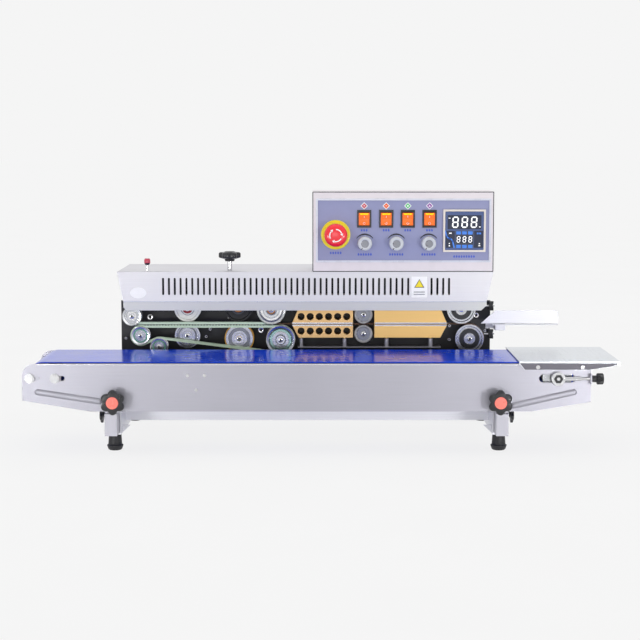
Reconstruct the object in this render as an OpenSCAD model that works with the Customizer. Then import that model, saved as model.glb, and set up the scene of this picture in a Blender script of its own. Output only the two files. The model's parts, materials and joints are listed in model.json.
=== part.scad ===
// Continuous band sealer: a sealing head over a small belt conveyor.
// +X runs along the conveyor towards the infeed end, +Y to the back, +Z up.
// The origin is on the floor, under the middle of the machine.

/* [Conveyor] */
// Left end of the conveyor frame
conv_left = -478; // [-520:1:-440]
// Right end of the conveyor frame
conv_right = 432; // [415:1:470]
// Front face of the conveyor frame
conv_front = -171.5; // [-190:0.5:-165]
// Depth of the conveyor frame
conv_depth = 172; // [160:1:190]
// Top edge of the side panels
panel_top = 147.2; // [140:0.1:150]
// Bottom edge of the side panels
panel_bottom = 70.4; // [69:0.1:76]
// Sheet thickness of the side panels
panel_t = 2; // [1.5:0.1:3]
// Radius of both conveyor rollers
roller_r = 23.6; // [18:0.1:26]
// Thickness of the conveyor belt
belt_t = 2; // [1:0.1:3]
// Bare edge between each side panel and the belt
belt_margin = 6; // [5:0.5:20]
// Axis of the left, driven roller
drive_x = -445.5; // [-450:0.5:-430]
// Axis of the right, tension roller
tail_x = 378.8; // [360:0.2:384]

/* [Base] */
// Distance between the middles of the two slide bars
bar_pitch = 626.2; // [600:0.2:660]
// Middle of the base along X
base_x = -22.9; // [-40:0.1:0]
// Width of a slide bar
bar_w = 19.5; // [16:0.1:26]
// Height of a slide bar
bar_h = 35.5; // [28:0.1:36]
// Height of the rubber feet
foot_h = 28.5; // [20:0.5:40]
// Widest radius of a foot
foot_r = 13.3; // [10:0.1:18]
// Sheet thickness of the base
base_t = 3; // [2:0.1:4]

/* [Head] */
// Height of the line where the two sealing bands meet
seal_z = 188; // [185:0.5:192]
// Front face of the black mounting plate
plate_front = 68.5; // [66:0.5:72]
// Thickness of the mounting plate
plate_t = 4; // [3:0.5:6]
// Front face of the steel cover
cover_front = 15.5; // [12:0.5:18]
// Back of the machine
machine_back = 200.5; // [180:0.5:230]
// Top of the steel cover
cover_top = 280; // [270:1:300]
// Sheet thickness of the cover and housings
sheet_t = 1.5; // [1:0.1:2.5]
// Number of vent slots in the cover
vent_count = 50; // [10:1:54]
// Distance from one vent slot to the next
vent_pitch = 9.96; // [6:0.01:10.2]
// Radius of the sealing band wheels
band_wheel_r = 25; // [22:0.1:25.4]
// Radius of the pressing rollers
press_r = 15.9; // [12:0.1:17]
// Radius of every wheel shaft
shaft_r = 4; // [3:0.1:5]

/* [Control box] */
// Width of the control box
box_w = 308.5; // [290:0.5:330]
// Height of the control box
box_h = 134.5; // [130:0.5:160]
// Depth of the control box
box_d = 98; // [80:1:120]
// Radius of the emergency stop head
stop_r = 19.5; // [15:0.5:22]
// Radius of a dial knob
dial_r = 12.8; // [9:0.1:16]

/* [Hidden] */
$fn = 48;

// Clearances used all through the machine
run_gap = 0.05;   // a shaft turning in its hole
free_gap = 0.3;   // pieces that pass each other
slot_gap = 0.25;  // a stud in a long slot

// Colours
steel = "silver";
black = "#1c1c20";
cream = "#e8e0d0";

// Sub-part heights that follow the driving sizes
rail_z = foot_h;
bar_z = rail_z + base_t + free_gap;
bar_x = [base_x - bar_pitch / 2, base_x + bar_pitch / 2];
conv_back = conv_front + conv_depth;
belt_top = panel_top + 2.2;
roller_z = belt_top - belt_t - roller_r;
belt_y = [conv_front + panel_t + belt_margin, conv_back - panel_t - belt_margin];

// Planes of the sealing head, front to back
wheel_front = cover_front + 6;
guide_y = [wheel_front + 3.2, wheel_front + 13];
band_y = [wheel_front + 19, wheel_front + 34];
block_y = [wheel_front + 13.5, plate_front - 6];
plate_back = plate_front + plate_t;
boss_len = 12;
boss_wall = 5;
shaft_end = plate_back + boss_len + 8;
drive_shaft_end = shaft_end + 20;
gear_y = [plate_back + boss_len + 0.5, plate_back + boss_len + 7.5];
gap_to_seal = 0.8;
band_t = 0.35;
guide_t = 4;

// Wheel places: [x, z, radius]
low_line = seal_z - gap_to_seal;
high_line = seal_z + gap_to_seal;
gear_teeth = 27;
gear_module = 2;
gear_distance = gear_teeth * gear_module;
drive_low = [-69.2, low_line - band_wheel_r, band_wheel_r];
drive_rise = high_line + band_wheel_r - drive_low[1];
drive_lean = sqrt(gear_distance * gear_distance - drive_rise * drive_rise);
drive_up = [drive_low[0] - drive_lean, high_line + band_wheel_r, band_wheel_r];
idler_low = [256.6, low_line - band_wheel_r + 0.4, band_wheel_r - 0.4];
idler_up = [242.1, high_line + band_wheel_r - 0.4, band_wheel_r - 0.4];
press_up = [73.3, high_line + press_r, press_r];
press_low = [73.3, low_line - press_r, press_r];
guide_up = [-324.2, high_line + 14.4, 16.6];
guide_low = [-309.8, low_line - 17.7, 16.2];
guide_idler = [-278, 150.5, 15.4];
anvil = [-230.3, low_line - free_gap - guide_t - 15, 21.8];
printer = [-229.9, high_line + guide_t + free_gap + 22, 22.8];
rubber = [-140.7, low_line - 24, 25.6];
emboss = [-142.3, high_line + 28.4, 25];

WHEELS = [guide_up, guide_low, guide_idler, anvil, printer, rubber, drive_low, drive_up,
  press_up, press_low, idler_up, idler_low];

// ---------- building helpers ----------

// Box from one corner to the other
module block(x, y, z) {
  translate([x[0], y[0], z[0]]) cube([x[1] - x[0], y[1] - y[0], z[1] - z[0]]);
}

// Round bar along Y
module rod_y(x, z, r, y0, y1) {
  translate([x, y0, z]) rotate([-90, 0, 0]) cylinder(r = r, h = y1 - y0);
}

// Round bar along X
module rod_x(y, z, r, x0, x1) {
  translate([x0, y, z]) rotate([0, 90, 0]) cylinder(r = r, h = x1 - x0);
}

// Upright round bar
module rod_z(x, y, r, z0, z1) {
  translate([x, y, z0]) cylinder(r = r, h = z1 - z0);
}

// Flat shape in the XZ plane, from y0 back to y1
module sheet_xz(y0, y1) {
  translate([0, y1, 0]) rotate([90, 0, 0]) linear_extrude(height = y1 - y0) children();
}

// Profile of [radius, distance] turned about an axis along Y
module turned_y(x, z, y0, profile) {
  translate([x, y0, z]) rotate([-90, 0, 0]) rotate_extrude() polygon(profile);
}

// Flat outline of a hand knob with round lobes
module star_2d(r, lobes) {
  lobe_r = r * 0.26;
  circle(r = r * 0.82);
  for (i = [0 : lobes - 1])
    rotate(i * 360 / lobes) translate([r - lobe_r, 0]) circle(r = lobe_r);
}

// Slot outline with round ends, from one centre to the other
module slot_2d(a, b, w) {
  length = norm(b - a);
  angle = atan2(b[1] - a[1], b[0] - a[0]);
  translate(a) rotate(angle) translate([0, -w / 2]) square([length, w]);
  translate(a) circle(r = w / 2);
  translate(b) circle(r = w / 2);
}

// Direction of the straight run that leaves pulley p for pulley q: [x, z, signed radius]
function run_angle(p, q) =
  let (d = [q[0] - p[0], q[1] - p[1]])
  atan2(d[1], d[0]) + asin((p[2] - q[2]) / norm(d));

// Turn from one direction to the next, in the sense the belt bends there
function turn(a, b, sense) =
  let (t = (b - a) % 360, u = t < 0 ? t + 360 : t)
  sense > 0 ? u : u - 360;

// Closed belt line round a list of pulleys, moved outwards by grow
function belt_line(pulleys, grow, step = 7.5) =
  let (n = len(pulleys), p = [for (q = pulleys) [q[0], q[1], q[2] + grow]])
  [for (i = [0 : n - 1])
    let (c = p[i],
      a_in = run_angle(p[(i + n - 1) % n], c),
      sweep = turn(a_in, run_angle(c, p[(i + 1) % n]), c[2]),
      steps = max(1, ceil(abs(sweep) / step)))
    for (k = [0 : steps])
      let (a = a_in - 90 + sweep * k / steps)
      [c[0] + c[2] * cos(a), c[1] + c[2] * sin(a)]];

// Flat belt loop: its inner line touches the given radii
module belt_2d(pulleys, t) {
  difference() {
    polygon(belt_line(pulleys, t));
    polygon(belt_line(pulleys, 0));
  }
}

// Spur gear outline with some backlash
module gear_2d(teeth, mod, phase) {
  pitch_r = teeth * mod / 2;
  tip_r = pitch_r + mod * 0.85;
  root_r = pitch_r - mod * 1.15;
  step = 360 / teeth;
  polygon([for (i = [0 : teeth - 1])
    for (p = [[-0.34, root_r], [-0.13, tip_r], [0.13, tip_r], [0.34, root_r]])
      let (a = phase + (i + p[0]) * step)
      [p[1] * cos(a), p[1] * sin(a)]]);
}

// ---------- base ----------

rail_front = conv_front + 25;
rail_back = machine_back - 25;
rail_web = 2;
rail_in = bar_w / 2 + free_gap + 0.2;
rail_top = bar_z + bar_h + 0.9;
knob_rail_y = conv_front + 46;
side_knob_z = rail_top - 6.5;
stud_r = 4;
pan_bottom = 40.7;
pan_front = conv_front + 92;
pan_sheet = 1.5;
gusset_w = 13;

// Channel that holds one slide bar: side is the outward direction
module side_rail(x, side) {
  outer = x + side * (rail_in + rail_web);
  inner = x - side * (rail_in + rail_web);
  x_all = [min(outer, inner), max(outer, inner)];
  difference() {
    union() {
      block(x_all, [rail_front, rail_back], [rail_z, rail_z + base_t]);
      for (s = [-1, 1])
        let (a = x + s * rail_in, b = x + s * (rail_in + rail_web))
        block([min(a, b), max(a, b)], [rail_front, rail_back], [rail_z, rail_top]);
    }
    rod_x(knob_rail_y, side_knob_z, stud_r + run_gap, min(x, outer) - 1, max(x, outer) + 1);
  }
}

module base_pan() {
  color(steel) {
    for (i = [0, 1]) side_rail(bar_x[i], i * 2 - 1);
    x0 = bar_x[0] + rail_in + rail_web;
    x1 = bar_x[1] - rail_in - rail_web;
    block([x0, x1], [pan_front, rail_back], [pan_bottom, pan_bottom + pan_sheet]);
    block([x0, x1], [pan_front, pan_front + pan_sheet], [pan_bottom, rail_top]);
    block([x0, x1], [rail_back - pan_sheet, rail_back], [pan_bottom, rail_top]);
    sheet_xz(foot_y[0], foot_y[0] + rail_web) {
      polygon([[x0, rail_z], [x0 + gusset_w, pan_bottom], [x0, pan_bottom]]);
      polygon([[x1, rail_z], [x1 - gusset_w, pan_bottom], [x1, pan_bottom]]);
    }
  }
}

foot_y = [conv_front + 45, rail_back - 20];
foot_waist = 10.5;
module rubber_feet() {
  color(black)
    for (x = bar_x) for (y = foot_y)
      translate([x, y, 0]) rotate_extrude()
        polygon([[0, 0], [foot_r * 0.68, 0], [foot_r * 0.82, 1.5], [foot_r, foot_waist],
          [foot_r * 0.84, foot_waist + 0.6], [foot_r * 0.75, foot_h], [0, foot_h]]);
}

// ---------- sealing head ----------

plate_x = [-347.9, 295.2];
upper_x = [-333, 279];
plate_z = [rail_top, 272];
shoulder_z = 226;

// Outline of the mounting plate: wide below the cover, narrower inside it
module head_outline(inset, z0, z1) {
  square_x = [plate_x[0] + inset, plate_x[1] - inset];
  neck_x = [upper_x[0] + inset, upper_x[1] - inset];
  polygon([[square_x[0], z0], [square_x[1], z0], [square_x[1], shoulder_z - inset],
    [neck_x[1], shoulder_z - inset], [neck_x[1], z1], [neck_x[0], z1],
    [neck_x[0], shoulder_z - inset], [square_x[0], shoulder_z - inset]]);
}

carrier_slot = [emboss[0] - 14, emboss[0] + 14];
carrier_play = 3;

module head_plate() {
  color(black) difference() {
    union() {
      sheet_xz(plate_front, plate_back) head_outline(0, plate_z[0], plate_z[1]);
      for (w = WHEELS) rod_y(w[0], w[1], shaft_r + boss_wall, plate_back, plate_back + boss_len);
    }
    for (w = WHEELS) rod_y(w[0], w[1], shaft_r + run_gap, plate_front - 1, plate_back + boss_len + 1);
    sheet_xz(plate_front - 1, plate_back + 1)
      translate([carrier_slot[0] - free_gap, emboss[1] - 14 - carrier_play - free_gap])
        square([carrier_slot[1] - carrier_slot[0] + 2 * free_gap, 28 + carrier_play + 2 * free_gap]);
  }
}

cover_x = [-347.8, 294.5];
crease_x = [-337.6, 283.3];
crease_z = 229;
lip_z = 213.6;
lip_lean = 2.5;
vent_first = -269.3;
vent_w = 3.5;
vent_z = [242, 268];
top_slot_y = cover_front + 6;
lever_x = [-296.5, -261.5];
lever_slot_w = 5;
spare_slot_x = [-42, -19];
knob_stem = [-156.9, cover_front + 28];
stem_r = 4;
cover_back = machine_back - 2;

module head_cover() {
  color(steel) difference() {
    union() {
      sheet_xz(cover_front, cover_back)
        polygon([[crease_x[0], crease_z], [crease_x[1], crease_z], [cover_x[1], cover_top],
          [cover_x[0], cover_top]]);
      intersection() {
        translate([crease_x[0], 0, 0]) rotate([90, 0, 90])
          linear_extrude(height = crease_x[1] - crease_x[0])
            polygon([[cover_front, crease_z + 1], [cover_front, crease_z],
              [cover_front + lip_lean, lip_z], [cover_front + lip_lean + sheet_t, lip_z],
              [cover_front + sheet_t, crease_z], [cover_front + sheet_t, crease_z + 1]]);
        sheet_xz(cover_front - 1, cover_front + 10)
          polygon([[crease_x[0], crease_z + 1], [crease_x[0], lip_z + 5], [crease_x[0] + 5, lip_z],
            [crease_x[1] - 9, lip_z], [crease_x[1], lip_z + 9], [crease_x[1], crease_z + 1]]);
      }
    }
    sheet_xz(cover_front + sheet_t, cover_back + 1)
      polygon([[crease_x[0] + sheet_t, crease_z - 1], [crease_x[1] - sheet_t, crease_z - 1],
        [cover_x[1] - sheet_t, cover_top - sheet_t], [cover_x[0] + sheet_t, cover_top - sheet_t]]);
    sheet_xz(cover_front - 1, cover_front + sheet_t + 1)
      for (i = [0 : vent_count - 1])
        let (x = vent_first + i * vent_pitch)
        slot_2d([x, vent_z[0]], [x, vent_z[1]], vent_w);
    translate([0, 0, cover_top - sheet_t - 1]) linear_extrude(height = sheet_t + 2) {
      slot_2d([lever_x[0], top_slot_y], [lever_x[1], top_slot_y], lever_slot_w);
      slot_2d([spare_slot_x[0], top_slot_y], [spare_slot_x[1], top_slot_y], 3);
      translate(knob_stem) circle(r = stem_r + 0.08);
    }
  }
}

housing_inset = 2;
housing_z = [rail_top, cover_top - sheet_t];
inlet = [-200, 96];
inlet_size = [48, 28];
gland = [-120, 96];
gland_r = 11;
fan_x = 150;
fan_z = 150;
fan_r = 28;

module rear_housing() {
  y0 = plate_back;
  y1 = cover_back - 0.5;
  color(steel) difference() {
    sheet_xz(y0, y1) head_outline(housing_inset, housing_z[0], housing_z[1]);
    sheet_xz(y0 - 1, y1 - sheet_t)
      head_outline(housing_inset + sheet_t, housing_z[0] + sheet_t, housing_z[1] - sheet_t);
    for (k = [-4 : 4])
      sheet_xz(y1 - sheet_t - 1, y1 + 1)
        let (h = sqrt(fan_r * fan_r - k * k * 36))
        slot_2d([fan_x + k * 6, fan_z - h + 2], [fan_x + k * 6, fan_z + h - 2], 3);
    rod_y(gland[0], gland[1], gland_r * 0.6, y1 - sheet_t - 1, y1 + 1);
  }
  // Socket for the mains lead and the bush of the cable entry
  color(black) {
    x = [inlet[0] - inlet_size[0] / 2, inlet[0] + inlet_size[0] / 2];
    z = [inlet[1] - inlet_size[1] / 2, inlet[1] + inlet_size[1] / 2];
    difference() {
      block(x, [y1, machine_back], z);
      block([x[0] + 8, x[1] - 8], [y1 + 1, machine_back + 1], [z[0] + 6, z[1] - 6]);
    }
    difference() {
      rod_y(gland[0], gland[1], gland_r, y1, machine_back);
      rod_y(gland[0], gland[1], gland_r * 0.45, y1 - 1, machine_back + 1);
    }
  }
}

// Heating and cooling blocks
cool_x = [-49.8, 55.3];
heat_x = [92.2, 217.5];
block_slant = 11.6;
block_low_z = 164.8;
block_high_z = 216;
cool_holes = 6;
cool_pitch = 15.74;
cool_hole_r = 6.2;
cool_first = -34.1;
cool_hole_z = [176.2, 201.2];

// Brass bar: the seal face is z_seal and the back z_far, slanted at one end
module brass_bar(x, slant_left, slant_right, z_seal, z_far) {
  sheet_xz(block_y[0], block_y[1])
    polygon([[x[0], z_seal], [x[1], z_seal], [x[1] - slant_right, z_far],
      [x[0] + slant_left, z_far]]);
}

module cooling_holes(z) {
  for (i = [0 : cool_holes - 1])
    rod_y(cool_first + i * cool_pitch, z, cool_hole_r, block_y[0] - 1, block_y[1] + 1);
}

standoff_r = 5;

module upper_cooling_block() {
  color("#b08d57") {
    difference() {
      brass_bar(cool_x, block_slant, 0, high_line, block_high_z);
      cooling_holes(cool_hole_z[1]);
    }
    for (x = [cool_x[0] + 24, cool_x[1] - 12])
      rod_y(x, block_high_z - 6, standoff_r * 0.6, block_y[1], plate_front);
  }
}

module upper_heating_block() {
  color("#c9a455") {
    brass_bar(heat_x, 0, block_slant, high_line, block_high_z);
    for (x = [heat_x[0] + 20, heat_x[1] - 24])
      rod_y(x, block_high_z - 8, standoff_r, block_y[1], plate_front);
  }
}

plunger_x = [-34.5, 41, 113.4, 189.4];
plunger_r = 4.2;
pin_r = 2;
rail_bar_z = [147.2, 149];
rail_bar_x = [-40, 207];
block_travel = 2;
sleeve_top = block_low_z - block_travel - free_gap;
plunger_y = (block_y[0] + block_y[1]) / 2 - 6;
pin_bottom = rail_bar_z[1] + block_travel + 1;

module plunger_pins(xs) {
  for (x = xs) rod_z(x, plunger_y, pin_r, pin_bottom, block_low_z);
}

module lower_cooling_block() {
  color("#b08d57") {
    difference() {
      brass_bar(cool_x, block_slant, 0, low_line, block_low_z);
      cooling_holes(cool_hole_z[0]);
    }
    plunger_pins([plunger_x[0], plunger_x[1]]);
  }
}

module lower_heating_block() {
  color("#c9a455") {
    brass_bar(heat_x, 0, block_slant, low_line, block_low_z);
    plunger_pins([plunger_x[2], plunger_x[3]]);
  }
}

module block_rail() {
  color(steel) {
    block(rail_bar_x, [plunger_y - 6, plate_front], rail_bar_z);
    for (x = plunger_x)
      difference() {
        rod_z(x, plunger_y, plunger_r, rail_bar_z[1], sleeve_top);
        rod_z(x, plunger_y, pin_r + run_gap, rail_bar_z[1] + 0.5, sleeve_top + 1);
      }
  }
}

// Sealing bands: two thin loops that meet on the seal line
band_gap = free_gap;
module seal_bands() {
  color("#7a5a3a") sheet_xz(band_y[0], band_y[1]) {
    belt_2d([[drive_up[0], drive_up[1], drive_up[2] + band_gap],
      [idler_up[0], idler_up[1], idler_up[2] + band_gap]], band_t);
    belt_2d([[drive_low[0], drive_low[1], drive_low[2] + band_gap],
      [idler_low[0], idler_low[1], idler_low[2] + band_gap]], band_t);
  }
}

// Bag guide belts: the lower one rises over its idler on the way back
guide_groove = guide_t + 0.7;
idler_groove_r = guide_idler[2] - 3;
module guide_belts() {
  color("#bcd6b4") sheet_xz(guide_y[0], guide_y[1]) {
    belt_2d([[guide_up[0], guide_up[1], guide_up[1] - high_line - guide_t],
      [drive_up[0], drive_up[1], drive_up[1] - high_line - guide_t]], guide_t);
    belt_2d([[guide_low[0], guide_low[1], low_line - guide_low[1] - guide_t],
      [guide_idler[0], guide_idler[1], -(idler_groove_r + free_gap + guide_t)],
      [drive_low[0], drive_low[1], low_line - drive_low[1] - guide_t]], guide_t);
  }
}

// Infeed guide: an upright plate whose foot leaves a slot for the bag mouth
guide_plate_x = [274.9, 407];
guide_plate_z = [190.6, 213];
guide_corner_r = 5;
guide_plate_y = [guide_y[0], guide_y[0] + sheet_t];
guide_tab_x = [300.5, 318];
guide_tab_z = 177.5;
guide_slant = 24.5;
lip_depth = 9;
lower_lip_z = [187.6, 189.1];

module feed_guide() {
  color(steel) {
    sheet_xz(guide_plate_y[0], guide_plate_y[1]) {
      polygon([[guide_plate_x[0], guide_plate_z[0]], [guide_plate_x[1], guide_plate_z[0]],
        [guide_plate_x[1], guide_plate_z[1] - guide_corner_r],
        [guide_plate_x[1] - guide_corner_r, guide_plate_z[1]],
        [guide_plate_x[0] + guide_slant, guide_plate_z[1]]]);
      translate([guide_plate_x[1] - guide_corner_r, guide_plate_z[1] - guide_corner_r])
        circle(r = guide_corner_r);
    }
    block([guide_plate_x[0] + 8, guide_plate_x[1]],
      [guide_plate_y[1] - 0.2, guide_plate_y[1] + lip_depth],
      [guide_plate_z[0], guide_plate_z[0] + sheet_t]);
    block([guide_plate_x[0] + 20, guide_plate_x[1]], [guide_plate_y[0], guide_plate_y[1] + lip_depth],
      lower_lip_z);
    block(guide_tab_x, [guide_plate_y[1] + lip_depth - 0.2, guide_plate_y[1] + lip_depth + 2],
      [guide_tab_z, guide_plate_z[0] + sheet_t]);
    block([plate_x[1] - 8, guide_tab_x[0] + 3], [plate_front - 2, plate_front],
      [guide_tab_z, lower_lip_z[1]]);
    block([guide_tab_x[0], guide_tab_x[0] + 3], [guide_plate_y[1] + lip_depth + 1, plate_front - 1],
      [guide_tab_z, lower_lip_z[1]]);
  }
}

// Screw heads and standoffs on the mounting plate: [x, z, radius, length]
plate_screws = [
  [-296.8, 197.6, 5, 7], [-104.2, 175.2, 5, 8], [270.4, 200.6, 4.5, 6],
  [-193, 176, 2.6, 2.5], [-200, 163, 2.6, 2.5], [-340, 160, 2.2, 2], [224.3, 182, 2.6, 2.5],
  [223.8, 158, 2.6, 2.5], [286, 173, 2.6, 2.5], [-160, 196, 2.6, 2.5]];
socket_share = 0.45;
pin_z = [168, 217];
pin_x = [284, 302];

module plate_fasteners() {
  color(steel)
    for (s = plate_screws) difference() {
      rod_y(s[0], s[1], s[2], plate_front - s[3], plate_front);
      translate([s[0], plate_front - s[3] - 1, s[1]]) rotate([-90, 0, 0])
        cylinder(r = s[2] * socket_share, h = s[3] * 0.5 + 1, $fn = 6);
    }
  // Band tension pins in their lugs at the right edge
  color(steel) for (z = pin_z) rod_x(plate_front - 4, z, 1.6, pin_x[0], pin_x[1]);
  color(black) for (z = pin_z) difference() {
    block([plate_x[1] - 3, plate_x[1] + 5], [plate_front - 8, plate_front], [z - 8, z + 8]);
    rod_x(plate_front - 4, z, 1.6, pin_x[0], pin_x[1]);
  }
}

// Worm gearbox on the lower drive shaft with its motor below
gearbox = [64, 44, 62];
motor_r = 29;
motor_len = 66;
module drive_motor() {
  x = drive_low[0];
  z = drive_low[1];
  y0 = gear_y[1] + 1;
  color("#3a3d44") difference() {
    union() {
      block([x - gearbox[0] / 2, x + gearbox[0] / 2], [y0, y0 + gearbox[1]],
        [z - gearbox[2] / 2, z + gearbox[2] / 2 - 8]);
      rod_z(x, y0 + gearbox[1] / 2 + 10, motor_r,
        z - gearbox[2] / 2 - motor_len + 5, z - gearbox[2] / 2);
    }
    rod_y(x, z, shaft_r + run_gap, y0 - 1, drive_shaft_end + 1);
  }
}

// ---------- wheels ----------

// Grooved pulley for a guide belt, with its shaft
module guide_pulley(w, groove_r) {
  front = wheel_front + 0.5;
  rim = guide_y[0] - front - 0.6;
  width = guide_y[1] - front + 2.2;
  turned_y(w[0], w[1], front, [[0, 1], [3, 1], [3, 0.4], [6, 0.4], [6, 1.4],
    [w[2] - 5, 1.4], [w[2] - 4, 0.3], [w[2] - 1, 0], [w[2], 1], [w[2], rim],
    [groove_r, rim + 0.3], [groove_r, width - 1.9], [w[2], width - 1.6], [w[2], width],
    [shaft_r, width], [shaft_r, shaft_end - front], [0, shaft_end - front]]);
}

// Plain wheel in the plane of the sealing bands
module band_wheel(w, face_r) {
  front = band_y[0] - 3;
  width = band_y[1] - band_y[0] + 5;
  turned_y(w[0], w[1], front, [[0, -2], [face_r * 0.5, -2], [face_r * 0.5, 0], [face_r, 0], [face_r, 3],
    [w[2] - 4, 3], [w[2] - 3, 0], [w[2], 0], [w[2], width], [shaft_r, width],
    [shaft_r, shaft_end - front], [0, shaft_end - front]]);
}

// Drive wheel: groove for the guide belt in front, band rim behind, gear at the back
module drive_wheel(w, phase, end_y) {
  groove_r = w[2] - guide_groove;
  front = wheel_front;
  groove = guide_y[0] - front - 0.6;
  rim = band_y[0] - front - 2;
  width = band_y[1] - front + 2;
  turned_y(w[0], w[1], front, [[0, 2], [3.5, 2], [3.5, 1], [7, 1], [9, 5],
    [w[2] - 7, 5], [w[2] - 4, 0.5], [w[2] - 1, 0], [w[2], 1], [w[2], groove],
    [groove_r, groove + 0.3], [groove_r, rim - 3], [w[2], rim - 2.6], [w[2], width],
    [shaft_r, width], [shaft_r, end_y - front], [0, end_y - front]]);
  translate([w[0], gear_y[0], w[1]]) rotate([-90, 0, 0])
    linear_extrude(height = gear_y[1] - gear_y[0]) difference() {
      gear_2d(gear_teeth, gear_module, phase);
      circle(r = shaft_r - 0.5);
    }
}

mesh_angle = atan2(-(drive_up[1] - drive_low[1]), drive_up[0] - drive_low[0]);
tooth_half = 180 / gear_teeth;

module upper_guide_pulley() {
  color("#9a9a9e") guide_pulley(guide_up, guide_up[1] - high_line - guide_groove);
}
module lower_guide_pulley() {
  color("#6fae9a") guide_pulley(guide_low, low_line - guide_low[1] - guide_groove);
}
module lower_idler() { color("#6fae9a") guide_pulley(guide_idler, idler_groove_r); }
module anvil_wheel() { color(steel) band_wheel(anvil, 14); }
module print_wheel() { color("white") band_wheel(printer, 9); }
module rubber_wheel() { color("#d8a83a") band_wheel(rubber, 17); }
module lower_drive_wheel() { color(steel) drive_wheel(drive_low, mesh_angle, drive_shaft_end); }
module upper_drive_wheel() {
  color(steel) drive_wheel(drive_up, mesh_angle + 180 + tooth_half, shaft_end);
}
module upper_band_idler() { color(steel) band_wheel(idler_up, 15); }
module lower_band_idler() { color(steel) band_wheel(idler_low, 15); }

// Knurled pressing roller
module press_roller(w) {
  front = block_y[0] - 2;
  turned_y(w[0], w[1], front, [[0, 0.6], [w[2] - 4, 0.6], [w[2] - 3, 0], [w[2] - 1, 0], [w[2], 1],
    [w[2], block_y[1] - front - 2], [shaft_r, block_y[1] - front - 2],
    [shaft_r, shaft_end - front], [0, shaft_end - front]]);
}
module upper_press_roller() { color("#a8a8a4") press_roller(press_up); }
module lower_press_roller() { color("#a8a8a4") press_roller(press_low); }

// Embossing wheel on its own short shaft, carried by the sprung carrier
module emboss_wheel() {
  front = band_y[0] - 3;
  width = band_y[1] - band_y[0] + 5;
  color(black)
    turned_y(emboss[0], emboss[1], front, [[0, -2], [9, -2], [9, 0], [16, 0], [16, 3], [21, 3], [22, 0],
      [emboss[2], 0], [emboss[2], width], [shaft_r, width], [shaft_r, plate_back + 6 - front],
      [0, plate_back + 6 - front]]);
}

carrier_top = emboss[1] + 14;
arm_z = [emboss[1] + emboss[2] + 1.8, emboss[1] + emboss[2] + 7.8];

// Sliding carrier in the window of the mounting plate, with the arm under the pressure screw
module pressure_carrier() {
  color(steel) difference() {
    union() {
      block(carrier_slot, [plate_front + 0.2, plate_back - 0.2], [emboss[1] - 14, carrier_top]);
      block(carrier_slot, [plate_back + free_gap, plate_back + 8], [emboss[1] - 14, carrier_top]);
      block(carrier_slot, [plate_back - 1, plate_back + 1], [emboss[1] - 14, carrier_top]);
      block([knob_stem[0] - 6, emboss[0] + 14], [knob_stem[1] - 6, plate_front - 2],
        arm_z);
      block([emboss[0] - 8, emboss[0] + 8], [plate_front - 3, plate_front - free_gap],
        [emboss[1] + 6, arm_z[1]]);
      block([emboss[0] - 8, emboss[0] + 8], [plate_front - 1, plate_front + 1],
        [emboss[1] + 6, carrier_top]);
    }
    rod_y(emboss[0], emboss[1], shaft_r + run_gap, plate_front - 6, plate_back + 9);
  }
}

// Star knob and screw that set the embossing pressure
top_knob_z = [299.2, 313.5];
top_knob_r = 19;
module pressure_knob() {
  color(black) translate([knob_stem[0], knob_stem[1], 0]) {
    translate([0, 0, top_knob_z[0]]) linear_extrude(height = top_knob_z[1] - top_knob_z[0])
      star_2d(top_knob_r, 6);
    translate([0, 0, top_knob_z[0] - 4]) cylinder(r = 9, h = 4.5);
    translate([0, 0, arm_z[1] + free_gap]) cylinder(r = stem_r, h = top_knob_z[0] - arm_z[1] - 2);
  }
}

// Red-tipped slider that moves the printer's inker along the slot in the cover
tip_z = [292, 303];
module print_slider() {
  color("#c03040") {
    rod_z(lever_x[0], top_slot_y, 1.6, cover_top - sheet_t - 12, tip_z[0] + 1);
    translate([lever_x[0], top_slot_y, tip_z[0]]) rotate_extrude()
      polygon([[0, 0], [3, 0], [5, 3], [5, 8], [3.6, 11], [0, 11]]);
    block([lever_x[0] - 8, lever_x[0] + 8], [top_slot_y - 3.5, top_slot_y + 12],
      [cover_top - sheet_t - 12, cover_top - sheet_t - 6]);
  }
}

// ---------- control box ----------

box_x = [-14.4, -14.4 + box_w];
box_z = [cover_top, cover_top + 2 + box_h];
box_y = [cover_front, cover_front + box_d];
window_x = [box_x[0] + 9.3, box_x[1] - 8];
window_z = [box_z[0] + 17.6 + 2, box_z[1] - 14.9];
panel_face = box_y[0] + sheet_t;
panel_back = panel_face + 2;

module control_box() {
  color("#cfc8c8") difference() {
    block(box_x, box_y, box_z);
    block([box_x[0] + sheet_t, box_x[1] - sheet_t], [box_y[0] + sheet_t, box_y[1] - sheet_t],
      [box_z[0] + sheet_t, box_z[1] - sheet_t]);
    block(window_x, [box_y[0] - 1, box_y[0] + sheet_t + 1], window_z);
  }
}

stop_at = [25.2, 343.3];
rocker_x = [73.6, 111, 147.7, 184.7];
rocker_z = 370.4;
rocker_size = [24, 30];
rocker_hole = [21.6, 27.4];
rocker_slot = [18.8, 24];
dial_x = [74.7, 128.3, 183.3];
dial_z = 328.6;
stop_stem_r = 11;
dial_stem_r = 3;
controller_at = [244, 350.2];
controller_w = 72;
controller_neck = 67.6;

module square_at(p, size) {
  translate([p[0] - size[0] / 2, p[1] - size[1] / 2]) square(size);
}

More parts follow.
